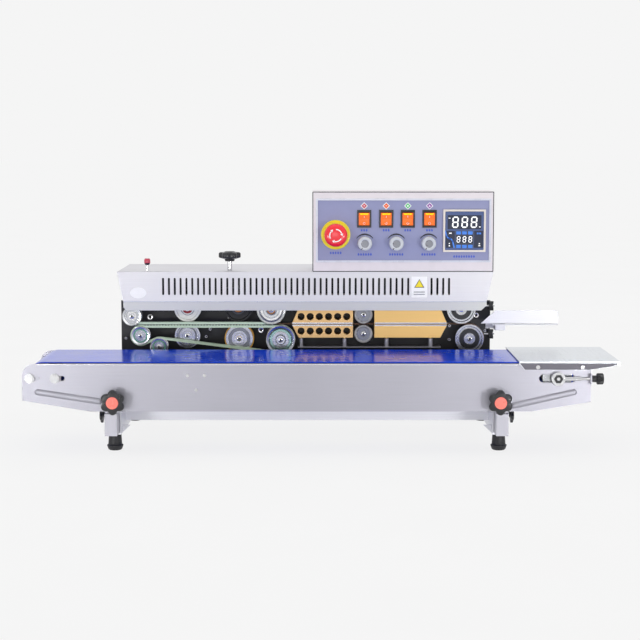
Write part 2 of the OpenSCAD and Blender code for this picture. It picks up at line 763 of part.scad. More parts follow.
module control_panel() {
  color("#8088a8") sheet_xz(panel_face, panel_back) difference() {
    translate([box_x[0] + sheet_t + free_gap, box_z[0] + sheet_t + free_gap])
      square([box_w - 2 * (sheet_t + free_gap), box_z[1] - box_z[0] - 2 * (sheet_t + free_gap)]);
    translate(stop_at) circle(r = stop_stem_r + 0.5);
    for (x = rocker_x) square_at([x, rocker_z], rocker_hole);
    for (x = dial_x) translate([x, dial_z]) circle(r = dial_stem_r + run_gap);
    square_at(controller_at, [controller_neck + 0.4, controller_neck + 0.4]);
  }
}

collar_r = 25;
module stop_collar() {
  color("yellow") difference() {
    union() {
      rod_y(stop_at[0], stop_at[1], collar_r, panel_face - 3, panel_face);
      rod_y(stop_at[0], stop_at[1], stop_stem_r + 0.45, panel_face - 0.5, panel_face + 14);
    }
    rod_y(stop_at[0], stop_at[1], stop_stem_r - 1 + run_gap, panel_face - 4, panel_face + 15);
  }
}

module stop_button() {
  head = panel_face - 27;
  color("red") turned_y(stop_at[0], stop_at[1], head, [[0, 0], [stop_r * 0.6, 0.8], [stop_r * 0.9, 3.5],
    [stop_r, 7], [stop_r, 12], [stop_r - 2, 15], [stop_stem_r - 1, 18], [stop_stem_r - 1, 36], [0, 36]]);
}

module rocker_bezels() {
  color(black)
    for (x = rocker_x) difference() {
      union() {
        sheet_xz(panel_face - 2, panel_face) square_at([x, rocker_z], rocker_size);
        sheet_xz(panel_face, panel_face + 18)
          square_at([x, rocker_z], [rocker_hole[0] - 0.4, rocker_hole[1] - 0.4]);
      }
      sheet_xz(panel_face - 3, panel_face + 16) square_at([x, rocker_z], rocker_slot);
    }
}

rocker_tilt = 10;
rocker_pivot = panel_face + 0.5;
module rocker(i) {
  color("orange")
    translate([rocker_x[i] - rocker_slot[0] / 2 + free_gap, rocker_pivot, rocker_z])
      rotate([rocker_tilt, 0, 0]) rotate([90, 0, 90])
        linear_extrude(height = rocker_slot[0] - 2 * free_gap)
          polygon([[-3.2, -11], [-1.4, 0], [-3.2, 11], [4, 9], [6, 0], [4, -9]]);
}
module rocker_1() { rocker(0); }
module rocker_2() { rocker(1); }
module rocker_3() { rocker(2); }
module rocker_4() { rocker(3); }

module dial(i) {
  head = panel_face - 16;
  color("#d8d8dc") {
    turned_y(dial_x[i], dial_z, head, [[0, 0.6], [dial_r - 4, 0.6], [dial_r - 3, 0], [dial_r - 2, 0],
      [dial_r - 1, 1], [dial_r, 15], [dial_r, 15.6], [dial_stem_r, 15.6], [dial_stem_r, 26], [0, 26]]);
  }
}
module dial_1() { dial(0); }
module dial_2() { dial(1); }
module dial_3() { dial(2); }

module controller_case() {
  color(cream) difference() {
    union() {
      sheet_xz(panel_face - 4, panel_face) square_at(controller_at, [controller_w, controller_w]);
      sheet_xz(panel_face, panel_face + 60) square_at(controller_at, [controller_neck, controller_neck]);
    }
    sheet_xz(panel_face - 5, panel_face - 2.5)
      square_at(controller_at, [controller_w - 6, controller_w - 6]);
  }
}

// ---------- conveyor ----------

corner_r = 20;
end_z = 88;
slope_x = [conv_left + 108, conv_right - 95.2];
slope_right_z = 86;
front_knob = [[-330.8, 88.2], [285, 88.2]];
tail_slot = [tail_x - 23.5, tail_x + 22.3];
tail_slot_w = 13;
bolt_x = [drive_x - 20.1, drive_x + 19.9];
bolt_slot = 12;
tray_step = 2.6; // the panel is lower where the tray passes over it

// Side panel outline: a long sheet with rising ends and one round corner
module panel_2d() {
  difference() {
    union() {
      polygon([[conv_left, end_z], [slope_x[0], panel_bottom], [slope_x[1], panel_bottom],
        [conv_right, slope_right_z], [conv_right, panel_top - tray_step],
        [conv_left + corner_r, panel_top - tray_step],
        [conv_left + corner_r, panel_top - corner_r], [conv_left, panel_top - corner_r]]);
      polygon([[conv_left + corner_r, panel_top - corner_r], [conv_right, panel_top - corner_r],
        [conv_right, panel_top - tray_step], [tray_x[0] - free_gap, panel_top - tray_step],
        [tray_x[0] - free_gap, panel_top], [conv_left + corner_r, panel_top]]);
      translate([conv_left + corner_r, panel_top - corner_r]) circle(r = corner_r);
    }
    slot_2d([tail_slot[0], roller_z], [tail_slot[1], roller_z], tail_slot_w);
    for (x = bolt_x) slot_2d([x, roller_z], [x + bolt_slot, roller_z], 8);
  }
}

end_flange = 12;
tab_depth = 9;
tab_h = 16;
bearing_t = 3;
bearing_x = [drive_x - 29.5, drive_x + 29.5];

// Plate behind each side panel that carries the driven roller's shaft
module bearing_plate(y0, y1) {
  difference() {
    block(bearing_x, [y0, y1], [roller_z - 13, roller_z + 13]);
    rod_y(drive_x, roller_z, roller_shaft_r + run_gap, y0 - 1, y1 + 1);
  }
}

module conveyor_front_panel() {
  color(steel) {
    difference() {
      sheet_xz(conv_front, conv_front + panel_t) panel_2d();
      for (k = front_knob)
        rod_y(k[0], k[1], stud_r + run_gap, conv_front - 1, conv_front + panel_t + 1);
    }
    difference() {
      block([conv_right - panel_t, conv_right],
        [conv_front + panel_t, conv_front + panel_t + end_flange],
        [slope_right_z + 1, panel_top - 4]);
    }
    difference() {
      block([conv_right - panel_t, conv_right], [conv_front - tab_depth, conv_front + 0.2],
        [roller_z - tab_h / 2, roller_z + tab_h / 2]);
      rod_x(tension_y, roller_z, spindle_r + run_gap, conv_right - panel_t - 1, conv_right + 1);
    }
    bearing_plate(conv_front + panel_t, conv_front + panel_t + bearing_t);
  }
}

module conveyor_rear_panel() {
  color(steel) {
    difference() {
      sheet_xz(conv_back - panel_t, conv_back) panel_2d();
    }
    block([conv_right - panel_t, conv_right], [conv_back - panel_t - end_flange, conv_back - panel_t],
      [slope_right_z + 1, panel_top - 4]);
    for (k = front_knob) rod_y(k[0], k[1], stud_r, conv_back - panel_t - 8, conv_back - panel_t + 0.5);
    bearing_plate(conv_back - panel_t - bearing_t, conv_back - panel_t);
  }
}

bed_x = [drive_x + roller_r + 10, tail_x - roller_r - 16];
bed_t = 2;
bed_flange = 6.5;
cross_x = [-260, 190];
cross_r = 6;
cross_z = 83;
bed_top = belt_top - belt_t - free_gap;

module slider_bed() {
  y0 = conv_front + panel_t;
  y1 = conv_back - panel_t;
  color(steel) {
    block(bed_x, [y0, y1], [bed_top - bed_t, bed_top]);
    block(bed_x, [y0, y0 + bed_t], [bed_top - bed_flange, bed_top]);
    block(bed_x, [y1 - bed_t, y1], [bed_top - bed_flange, bed_top]);
    for (x = cross_x) rod_y(x, cross_z, cross_r, y0, y1);
  }
}

module conveyor_belt() {
  color("#1040c0") sheet_xz(belt_y[0], belt_y[1])
    belt_2d([[drive_x, roller_z, roller_r + free_gap], [tail_x, roller_z, roller_r + free_gap]],
      belt_t - free_gap);
}

roller_shaft_r = 6;
module drive_roller() {
  color("#b8b8bc") {
    rod_y(drive_x, roller_z, roller_r, belt_y[0] - 1, belt_y[1] + 1);
    rod_y(drive_x, roller_z, roller_shaft_r, conv_front + panel_t + 1, conv_back - panel_t - 1);
  }
}

module tail_roller() {
  color("#b8b8bc") difference() {
    rod_y(tail_x, roller_z, roller_r, belt_y[0] - 1, belt_y[1] + 1);
    rod_y(tail_x, roller_z, roller_shaft_r + run_gap, belt_y[0] - 2, belt_y[1] + 2);
  }
}

eye_r = 11;
eye_t = 7;
tension_y = conv_front - free_gap - eye_t / 2;
eye_rod_r = 3.4;
eye_rod_len = 36;
spindle_r = 2.2;
spindle_tip = tail_x + eye_r + 3;

// Fixed shaft of the tension roller with the eye bolt that pulls it
module tail_shaft() {
  color(steel) {
    rod_y(tail_x, roller_z, roller_shaft_r, conv_front - 2, conv_back + 3);
    rod_y(tail_x, roller_z, eye_r, conv_front - free_gap - eye_t, conv_front - free_gap);
    difference() {
      rod_x(tension_y, roller_z, eye_rod_r, tail_x + eye_r - 1, tail_x + eye_rod_len);
      rod_x(tension_y, roller_z, spindle_r + run_gap, spindle_tip - free_gap, tail_x + eye_rod_len + 1);
    }
  }
}

// Knurled knob with its threaded spindle, held in the end bracket
knob_x = [conv_right + 2, conv_right + 18.5];
module tension_knob() {
  color(black) {
    rod_x(tension_y, roller_z, spindle_r, spindle_tip, knob_x[0] + 6);
    rod_x(tension_y, roller_z, 5.5, conv_right + free_gap, knob_x[0] + 6);
    rod_x(tension_y, roller_z, 9, knob_x[0] + 5, knob_x[1]);
  }
}

tray_x = [conv_right - 115.7, conv_right + 46];
tray_y = [conv_front - 1.5, conv_back + 13];
tray_top = belt_top + free_gap + 1.5;
tray_skirt = tray_top - (roller_z + eye_r) - 2.9;
tray_t = 1.5;

module tray_skirt_2d() {
  polygon([[tray_x[0], tray_top], [tray_x[0], tray_top - 3], [tray_x[0] + 9, tray_top - tray_skirt],
    [tray_x[1] - 50, tray_top - tray_skirt], [tray_x[1] - 14, tray_top - 8], [tray_x[1], tray_top - 5],
    [tray_x[1], tray_top]]);
}

module infeed_tray() {
  color(steel) {
    block(tray_x, tray_y, [tray_top - tray_t, tray_top]);
    sheet_xz(tray_y[0], tray_y[0] + tray_t) tray_skirt_2d();
    sheet_xz(conv_back, conv_back + tray_t) tray_skirt_2d();
    block([tray_x[1] - tray_t, tray_x[1]], tray_y, [tray_top - 5, tray_top]);
  }
}

motor_at = [-199.7, roller_z - 3];
gear_motor_r = roller_r - 4.6;
screw_circle = gear_motor_r - 3.4;
module conveyor_motor() {
  color("#3a3d44") {
    rod_y(motor_at[0], motor_at[1], gear_motor_r, conv_front + panel_t, conv_front + 62);
    rod_y(motor_at[0], motor_at[1], gear_motor_r - 3, conv_front + 61, conv_front + 128);
    rod_y(motor_at[0], motor_at[1], 4, conv_front + 127, conv_front + 140);
  }
}

washer_r = 8;
nut_r = 6.6;
module conveyor_fasteners() {
  y = conv_front;
  color(steel) {
    for (x = bolt_x) {
      rod_y(x, roller_z, washer_r, y - 1.6, y);
      translate([x, y - 1.5, roller_z]) rotate([90, 0, 0]) cylinder(r = nut_r, h = 5, $fn = 6);
      rod_y(x, roller_z, washer_r, conv_back, conv_back + 1.6);
    }
    for (a = [90 - 60, 90 + 60, 270])
      rod_y(motor_at[0] + screw_circle * cos(a), motor_at[1] + screw_circle * sin(a), 2.6, y - 1.2, y);
    for (x = [tray_x[0] + 30, tray_x[1] - 60.2])
      rod_y(x, tray_top - tray_skirt + 4.5, 3.4, tray_y[0] - 1.8, tray_y[0]);
  }
}

// Slide bars with their slotted uprights
upright_w = 28;
upright_t = 2.8;
upright_gap = 0.6;
lift = 28;
upright_top = 126;
bar_front = conv_front - 8;
bar_back = rail_back - 45;

module upright(k, bar, y0, y1) {
  sheet_xz(y0, y1) difference() {
    union() {
      translate([bar - bar_w / 2 + 0.2, bar_z + bar_h - 0.5]) square([bar_w - 0.4, 4]);
      translate([k[0] - upright_w / 2, rail_top + 0.6])
        square([upright_w, upright_top - rail_top - 0.6]);
    }
    slot_2d([k[0], k[1]], [k[0], k[1] + lift], 2 * (stud_r + slot_gap));
  }
}

module slide_bars() {
  color("#c8c8cc") {
    for (x = bar_x)
      block([x - bar_w / 2, x + bar_w / 2], [bar_front, bar_back], [bar_z, bar_z + bar_h]);
    front = conv_front + panel_t + upright_gap;
    back = conv_back - panel_t - upright_gap;
    for (i = [0, 1]) {
      upright(front_knob[i], bar_x[i], front, front + upright_t);
      upright(front_knob[i], bar_x[i], back - upright_t, back);
    }
  }
}

// Front clamp knob with its stud and clamp nut
front_knob_r = 20.2;
knob_h = 19;
cap_r = 9.5;
nut_y = conv_front + panel_t + upright_gap + upright_t + free_gap;

module front_knob_at(k) {
  face = conv_front - 8;
  color(black) {
    sheet_xz(face - knob_h + 2, face) translate(k) rotate(90) star_2d(front_knob_r, 6);
    rod_y(k[0], k[1], cap_r, face - knob_h - 2, face - knob_h + 3);
    rod_y(k[0], k[1], 9, face - 1, conv_front - free_gap);
    rod_y(k[0], k[1], stud_r, conv_front - 1, nut_y + 3);
    translate([k[0], nut_y, k[1]]) rotate([-90, 0, 0]) cylinder(r = 6.5, h = 3, $fn = 6);
  }
}
module front_knob_left() { front_knob_at(front_knob[0]); }
module front_knob_right() { front_knob_at(front_knob[1]); }

// Side clamp knob: its stud presses on the slide bar
side_knob_r = 17.5;
module side_knob(i) {
  side = i * 2 - 1;
  face = bar_x[i] + side * (rail_in + rail_web + 3.5);
  tip = bar_x[i] + side * (bar_w / 2 + free_gap);
  color(black) translate([face, knob_rail_y, side_knob_z]) rotate([0, side * 90, 0]) {
    linear_extrude(height = 8.5) star_2d(side_knob_r, 6);
    translate([0, 0, -3]) cylinder(r = 7, h = 4);
    translate([0, 0, -abs(face - tip)]) cylinder(r = stud_r, h = abs(face - tip) + 1);
  }
}
module side_knob_left() { side_knob(0); }
module side_knob_right() { side_knob(1); }

base_pan();
rubber_feet();
head_plate();
head_cover();
rear_housing();
control_box();
control_panel();
stop_collar();
rocker_bezels();
controller_case();
block_rail();
feed_guide();
upper_cooling_block();
upper_heating_block();
seal_bands();
guide_belts();
plate_fasteners();
drive_motor();
stop_button();
rocker_1();
rocker_2();
rocker_3();
rocker_4();
dial_1();
dial_2();
dial_3();
print_slider();
pressure_knob();
pressure_carrier();
upper_guide_pulley();
lower_guide_pulley();
lower_idler();
anvil_wheel();
print_wheel();
rubber_wheel();
emboss_wheel();
lower_drive_wheel();
upper_drive_wheel();
upper_press_roller();
lower_press_roller();
upper_band_idler();
lower_band_idler();
lower_cooling_block();
lower_heating_block();
slide_bars();
conveyor_front_panel();
conveyor_rear_panel();
slider_bed();
conveyor_belt();
drive_roller();
tail_roller();
tail_shaft();
infeed_tray();
tension_knob();
conveyor_motor();
conveyor_fasteners();
front_knob_left();
front_knob_right();
side_knob_left();
side_knob_right();
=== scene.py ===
# %% [markdown]
# # A continuous band sealer, dressed piece by piece
# The machine arrives as a fixed frame of CAD parts: sheet-metal panels, wheels, belts, blocks
# and knobs, each at its real place and size. This lesson gives every part its finish, and
# models again, in mesh code, the parts whose beauty is in soft edges: knobs, wheels, dials,
# the display and the belts.

# %% Load the frame
import bmesh
import bpy
import json
import math
from mathutils import Matrix, Vector


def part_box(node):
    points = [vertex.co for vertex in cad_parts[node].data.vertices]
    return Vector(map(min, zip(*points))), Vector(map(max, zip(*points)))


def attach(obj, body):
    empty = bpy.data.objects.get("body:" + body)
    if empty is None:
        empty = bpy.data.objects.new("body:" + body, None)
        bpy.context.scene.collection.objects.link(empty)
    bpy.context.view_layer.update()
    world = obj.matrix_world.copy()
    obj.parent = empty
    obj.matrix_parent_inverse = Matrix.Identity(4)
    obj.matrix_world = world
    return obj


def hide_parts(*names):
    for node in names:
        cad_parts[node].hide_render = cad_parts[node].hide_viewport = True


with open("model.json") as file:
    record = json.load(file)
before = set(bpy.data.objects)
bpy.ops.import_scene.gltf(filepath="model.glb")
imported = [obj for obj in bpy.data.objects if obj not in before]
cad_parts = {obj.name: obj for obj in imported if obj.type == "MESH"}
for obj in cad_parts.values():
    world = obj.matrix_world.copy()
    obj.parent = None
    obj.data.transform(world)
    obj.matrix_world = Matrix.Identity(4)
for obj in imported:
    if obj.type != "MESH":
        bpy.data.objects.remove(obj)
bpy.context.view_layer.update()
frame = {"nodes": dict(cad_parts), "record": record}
MM = 0.001

# %% [markdown]
# ## Where things are
# A wheel's axis comes from its joint, and most faces from the box of their CAD node, so a
# change of the design moves the looks along with it. The few places that a node's box doesn't
# give, such as the two ribs, are written with their own names.

# %% Places from the frame
joints = {joint["name"]: joint for joint in frame["record"]["behaviour"]["joints"]}


def axis_point(joint_name):
    """A point on a hinge's axis, in millimetres."""
    return [value / MM for value in joints[joint_name]["pos_m"]]


def span(node):
    """The lowest and highest corner of a CAD node, in millimetres."""
    low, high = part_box(node)
    return [value / MM for value in low], [value / MM for value in high]


PANEL_Y = span("control_panel")[0][1]
print("control panel face at y =", round(PANEL_Y, 2), "mm")

# %% [markdown]
# ## Colour and node helpers
# Colours are written as the hex values a paint chart would give, and one function turns them
# into the linear numbers a shader wants. One more function adds any node, and the short ones
# after it name what nearly every material needs: a noise of a real size, a ramp and a bump.

# %% Colour helpers


def paint(hex_code):
    """Linear colour from an sRGB hex value such as '#C0C0C4'."""
    channels = [int(hex_code[i:i + 2], 16) / 255 for i in (1, 3, 5)]
    linear = [c / 12.92 if c <= 0.04045 else ((c + 0.055) / 1.055) ** 2.4 for c in channels]
    return (*linear, 1.0)


def darker(hex_code, share):
    """The colour with only a share of its light."""
    return [c * share for c in paint(hex_code)[:3]] + [1.0]


def grey(value):
    """A plain grey for ramps that steer roughness."""
    return (value, value, value, 1.0)


# %% Node helpers


def add(tree, kind, settings=None, links=None):
    """settings are socket values, properties or ramp stops; links are {input: (node, output)}."""
    node = tree.nodes.new(kind)
    for name, value in (settings or {}).items():
        if name == "stops":
            ramp = node.color_ramp
            ramp.elements[0].position, ramp.elements[0].color = value[0]
            ramp.elements[1].position, ramp.elements[1].color = value[-1]
            for position, shade in value[1:-1]:
                ramp.elements.new(position).color = shade
        elif name in node.inputs:
            node.inputs[name].default_value = value
        else:
            setattr(node, name, value)
    for name, (source, output) in (links or {}).items():
        tree.links.new(source.outputs[output], node.inputs[name])
    return node


def noise(tree, place, grain_mm, detail=2.0):
    """Noise with grains of a real size, fixed to the object."""
    return add(tree, "ShaderNodeTexNoise", {"Scale": 1 / (grain_mm * MM), "Detail": detail},
               {"Vector": (place, "Object")})


def ramp(tree, source, *stops):
    """Colours along a pattern, as (position, colour)."""
    return add(tree, "ShaderNodeValToRGB", {"stops": stops}, {"Fac": (source, "Fac")})


def bump(tree, source, strength, depth_mm):
    return add(tree, "ShaderNodeBump", {"Strength": strength, "Distance": depth_mm * MM},
               {"Height": (source, "Fac")})


def dress(tree, shader, tint, polish, relief):
    """Joins the colour, the roughness and the relief to the shader."""
    for socket, node in (("Base Color", tint), ("Roughness", polish), ("Normal", relief)):
        tree.links.new(node.outputs[0], shader.inputs[socket])


MATERIALS = {}


def new_material(name, settings):
    """A principled material with its constants on the shader's own sockets, and its coordinates."""
    material = bpy.data.materials.new(name)
    material.use_nodes = True
    tree = material.node_tree
    shader = tree.nodes["Principled BSDF"]
    for socket, value in settings.items():
        shader.inputs[socket].default_value = value
    MATERIALS[name] = material
    return tree, shader, add(tree, "ShaderNodeTexCoord")


# %% [markdown]
# ## Brushed stainless steel
# The panels, the cover and the tray are stainless sheet drawn over an abrasive belt, which
# leaves long fine scratches along the sheet. They could be modelled as grooves, but a stretched
# noise does the same: it varies the roughness and nudges the normal. Real scratches are about
# 0.05 mm wide; these are drawn 0.7 mm wide so that they show. The cover's lip leans over the
# belt and would turn blue in its light, so faces that look forward and down get a warmer, paler
# painted tone that hides that reflection.

# %% Brushed metal


def face_down_and_forward(tree):
    """One where a face looks forward and down, none elsewhere."""
    facing = add(tree, "ShaderNodeNewGeometry")
    parts = add(tree, "ShaderNodeSeparateXYZ", None, {"Vector": (facing, "Normal")})
    both = add(tree, "ShaderNodeMath", {"operation": "MULTIPLY"})
    for k, (axis, start, end) in enumerate((("Z", -0.08, -0.3), ("Y", -0.6, -0.9))):
        share = add(tree, "ShaderNodeMapRange", {"From Min": start, "From Max": end}, {"Value": (parts, axis)})
        tree.links.new(share.outputs["Result"], both.inputs[k])
    return both


def brushed_metal(name, hex_code, roughness, stroke_mm=90.0, scratch_mm=0.7, along=0, painted_underside_hex=None):
    """Metal with fine strokes along X (0), Y (1) or Z (2), and an optional painted tone, warmer and paler,
    where it looks forward and down.
    """
    tree, shader, place = new_material(name, {"Metallic": 1.0})
    stretch = [1 / (scratch_mm * MM)] * 3
    stretch[along] = 1 / (stroke_mm * MM)
    strokes_at = add(tree, "ShaderNodeMapping", {"Scale": stretch}, {"Vector": (place, "Object")})
    strokes = add(tree, "ShaderNodeTexNoise", {"Scale": 1.0, "Detail": 3.0, "Roughness": 0.6},
                  {"Vector": (strokes_at, "Vector")})
    clouds = noise(tree, place, 140)
    tint = ramp(tree, strokes, (0.3, darker(hex_code, 0.9)), (0.7, paint(hex_code)))
    tint = add(tree, "ShaderNodeMixRGB", {"blend_type": "MULTIPLY", "Fac": 0.12},
               {"Color1": (tint, "Color"), "Color2": (clouds, "Fac")})
    # a painted tone where the face looks forward and down, against the blue reflection of the belt
    if painted_underside_hex:
        tint = add(tree, "ShaderNodeMixRGB", {"Color2": paint(painted_underside_hex)},
                   {"Fac": (face_down_and_forward(tree), "Value"), "Color1": (tint, "Color")})
    polish = ramp(tree, strokes, (0.25, grey(roughness - 0.07)), (0.75, grey(roughness + 0.09)))
    dress(tree, shader, tint, polish, bump(tree, strokes, 0.35, 0.012))


brushed_metal("stainless_brushed", "#B5B4BE", 0.45)
# its lip gets a paler painted tone where it looks forward and down, against the belt's blue reflection
brushed_metal("stainless_satin", "#E0DFE4", 0.52, painted_underside_hex="#FFFFDC")
brushed_metal("stainless_bright", "#E2E2E8", 0.5)
brushed_metal("stainless_tray", "#E2E6EB", 0.3, stroke_mm=120, along=1)
brushed_metal("satin_aluminium_bar", "#BEBDC6", 0.42, stroke_mm=40, along=2)
brushed_metal("brass_milled", "#F6CD84", 0.45, stroke_mm=60, scratch_mm=0.5)
brushed_metal("brass_bored", "#F2C88A", 0.4, stroke_mm=50, scratch_mm=0.5)
# pale metal for strips of painted highlight along edges
brushed_metal("painted_highlight_metal", "#E4E2E4", 0.22, stroke_mm=70, scratch_mm=0.4)
print("brushed metals:", len(MATERIALS))

# %% [markdown]
# ## Turned, plated and knurled metal
# Wheels and pulleys are turned on a lathe, so their tool marks are rings. The rings could
# follow each wheel's own axis, but a fine even grain with a low roughness reads the same on
# faces this small. Plated screws are smoother, and the pressing rollers are rough from their
# knurling.

# %% Fine-grained metal


def grained_metal(name, hex_code, roughness, grain_mm=0.8, depth_mm=0.004):
    """Metal with an even grain: turned, plated or cast."""
    tree, shader, place = new_material(name, {"Metallic": 1.0})
    wear = noise(tree, place, 9, 3.0)
    tint = ramp(tree, wear, (0.3, darker(hex_code, 0.92)), (0.65, paint(hex_code)))
    polish = ramp(tree, wear, (0.3, grey(roughness - 0.05)), (0.7, grey(roughness + 0.05)))
    dress(tree, shader, tint, polish, bump(tree, noise(tree, place, grain_mm), 0.3, depth_mm))


grained_metal("aluminium_turned", "#C2C4C8", 0.2)
grained_metal("aluminium_grey", "#85878E", 0.30)
# turned aluminium with a painted green reflection of the nearby green belts
grained_metal("aluminium_painted_green_reflection", "#9DBDB2", 0.24)
grained_metal("zinc_plated", "#D6D6D8", 0.18)
grained_metal("steel_knurled", "#A5A5A3", 0.42, grain_mm=1.4, depth_mm=0.06)
grained_metal("bronze_hub", "#9A6A4A", 0.35)
print("metals so far:", len(MATERIALS))

# %% [markdown]
# ## Plastics, paint and rubber
# ABS knobs, painted boxes and rubber feet are all non-metals, which differ in colour, gloss and
# in the texture of their mould or spray. One recipe serves them: an uneven roughness, a slight
# drift of colour, and a bump as coarse as the real texture. A glossy piece also gets a clear
# coat, and a lit one glows.

# %% Moulded and painted surfaces


def moulded(name, hex_code, roughness, coat=0.0, glow=0.0, texture_mm=0.6, depth_mm=0.015):
    """Plastic, paint or rubber. glow lights it from inside."""
    tree, shader, place = new_material(name, {
        "Coat Weight": coat, "Coat Roughness": 0.06, "IOR": 1.5,
        "Emission Color": paint(hex_code), "Emission Strength": glow})
    drift = noise(tree, place, 18, 3.0)
    tint = ramp(tree, drift, (0.3, darker(hex_code, 0.95)), (0.7, paint(hex_code)))
    polish = ramp(tree, drift, (0.3, grey(roughness - 0.05)), (0.7, grey(roughness + 0.07)))
    dress(tree, shader, tint, polish, bump(tree, noise(tree, place, texture_mm), 0.3, depth_mm))


moulded("powder_coat_black", "#11121B", 0.42, texture_mm=0.9, depth_mm=0.03)
moulded("rubber_black", "#16161B", 0.5, texture_mm=1.0)
moulded("box_paint_rose_grey", "#E2DBE0", 0.40, texture_mm=0.8)
moulded("panel_film_blue_grey", "#9094BA", 0.42, texture_mm=0.4)
for recipe in (
        ("abs_black", "#17181D", 0.30, 0.15), ("abs_coral_cap", "#FB7E70", 0.25, 0.4),
        # dark grey for the painted shade round the control box's edge
        ("painted_shade_box_rim", "#3A3B42", 0.45), ("trim_silver_paint", "#D3D6E2", 0.28, 0.3),
        ("nylon_yellow", "#F5E11A", 0.32), ("abs_red", "#F01C2C", 0.22, 0.5),
        ("print_white", "#F6F6F4", 0.35), ("print_black", "#15161C", 0.4),
        ("print_blue", "#1D49C4", 0.4), ("print_orange", "#F4611E", 0.35),
        ("print_green", "#4FC878", 0.35), ("print_purple", "#9040A8", 0.35),
        # yellow for the painted highlight at the top of each rocker, glowing
        ("polycarbonate_amber", "#F26A0A", 0.2, 0.4, 0.28), ("painted_highlight_yellow", "#FFC400", 0.2, 0.0, 0.75),
        ("abs_silver_dial", "#C6CAD1", 0.24, 0.4), ("abs_cream_bezel", "#E6DDD3", 0.35),
        ("display_glass", "#4A5C8C", 0.14, 0.2), ("display_glass_top", "#222A42", 0.12, 0.2),
        ("display_white", "#FFFFFF", 0.3, 0.0, 0.35), ("display_blue", "#3F7EDC", 0.3, 0.0, 0.1),
        ("label_vinyl_white", "#F7F7F7", 0.30), ("label_vinyl_yellow", "#F4E02A", 0.30),
        ("acetal_white", "#F2F2F0", 0.28), ("acetal_red", "#A01828", 0.3),
        ("urethane_amber", "#D29A2E", 0.35, 0.2), ("urethane_green", "#5E9C88", 0.35),
        ("urethane_pale_green", "#C3D8BE", 0.35), ("motor_paint_grey", "#3C3F48", 0.45),
        ("tray_shadow_paint", "#62606A", 0.4), ("slider_red", "#C64058", 0.3, 0.3)):
    moulded(*recipe)
print("materials so far:", len(MATERIALS))

# %% [markdown]
# ## The blue conveyor belt
# Food-grade belting is woven polyester with a glossy PVC skin. Seen at a flat angle it mirrors
# the head behind it, so the gloss matters more than the colour: a low roughness with a faint
# waviness from the weave under the skin, about one thread to a millimetre. Bags have dulled the
# run in front of the head, so its gloss is lower there than at the two ends.

# %% Belting and band cloth
tree, shader, place = new_material("pvc_belt_blue", {"IOR": 1.48, "Coat Weight": 0.15, "Coat Roughness": 0.05})
weave, waves = noise(tree, place, 1.0, 1.0), noise(tree, place, 60)
tint = ramp(tree, waves, (0.3, paint("#0036C0")), (0.7, paint("#0042D8")))
polish = ramp(tree, waves, (0.3, grey(0.16)), (0.7, grey(0.22)))
dress(tree, shader, tint, polish, bump(tree, weave, 0.12, 0.02))
LANE_FROM, LANE_TO = -380 * MM, 420 * MM
along = add(tree, "ShaderNodeSeparateXYZ", None, {"Vector": (place, "Object")})
lane = add(tree, "ShaderNodeMapRange", {"From Min": LANE_FROM, "From Max": LANE_TO}, {"Value": (along, "X")})
FRESH, WORN = grey(0.5), grey(0.12)
gloss = add(tree, "ShaderNodeValToRGB",
            {"stops": [(0.0, FRESH), (0.1, FRESH), (0.14, WORN), (0.84, WORN), (0.88, FRESH), (1.0, FRESH)]},
            {"Fac": (lane, "Result")})
tree.links.new(gloss.outputs["Color"], shader.inputs["Specular IOR Level"])

tree, shader, place = new_material("band_cloth_brown", {"Sheen Weight": 0.1})
threads = add(tree, "ShaderNodeTexWave", {"Scale": 1 / (1.6 * MM), "Distortion": 0.4},
              {"Vector": (place, "Object")})
tint = ramp(tree, threads, (0.2, paint("#6E4A34")), (0.8, paint("#94684A")))
polish = ramp(tree, threads, (0.3, grey(0.3)), (0.7, grey(0.42)))
dress(tree, shader, tint, polish, bump(tree, threads, 0.3, 0.03))
print("all materials:", len(MATERIALS))

# %% [markdown]
# ## Dressing the CAD parts
# A CAD part whose shape is right keeps its mesh and only gets its finish. A narrow bevel
# breaks its edges, because a folded sheet or a milled block never has a razor edge: the
# highlight along that bevel is what makes metal look like metal.

# %% Finish for each CAD node
FINISHES = {
    "stainless_brushed": "rear_housing conveyor_front_panel conveyor_rear_panel slider_bed",
    "stainless_satin": "head_cover",
    "stainless_bright": "feed_guide base_pan",
    "stainless_tray": "infeed_tray",
    "powder_coat_black": "head_plate pressure_carrier",
    "satin_aluminium_bar": "slide_bars block_rail",
    "rubber_black": "rubber_feet emboss_wheel",
    "box_paint_rose_grey": "control_box",
    "panel_film_blue_grey": "control_panel",
    "nylon_yellow": "stop_collar",
    "abs_red": "stop_button",
    "abs_black": "rocker_bezels pressure_knob tension_knob front_knob_left front_knob_right "
                 "side_knob_left side_knob_right",
    "polycarbonate_amber": "rocker_1 rocker_2 rocker_3 rocker_4",
    "abs_silver_dial": "dial_1 dial_2 dial_3",
    "abs_cream_bezel": "controller_case",
    "brass_bored": "upper_cooling_block lower_cooling_block",
    "brass_milled": "upper_heating_block lower_heating_block",
    "zinc_plated": "conveyor_fasteners tail_shaft print_slider",
    "band_cloth_brown": "seal_bands",
    "urethane_pale_green": "guide_belts",
    "aluminium_turned": "upper_guide_pulley lower_guide_pulley lower_idler anvil_wheel lower_drive_wheel "
                        "upper_drive_wheel lower_band_idler upper_band_idler drive_roller tail_roller",
    "steel_knurled": "upper_press_roller lower_press_roller",
    "acetal_white": "print_wheel",
    "urethane_amber": "rubber_wheel",
    "pvc_belt_blue": "conveyor_belt",
    "motor_paint_grey": "drive_motor conveyor_motor",
}
dressed = 0
for finish, nodes in FINISHES.items():
    for node in nodes.split():
        mesh = frame["nodes"][node].data
        mesh.materials.clear()
        mesh.materials.append(MATERIALS[finish])
        dressed += 1
print("dressed", dressed, "CAD nodes")

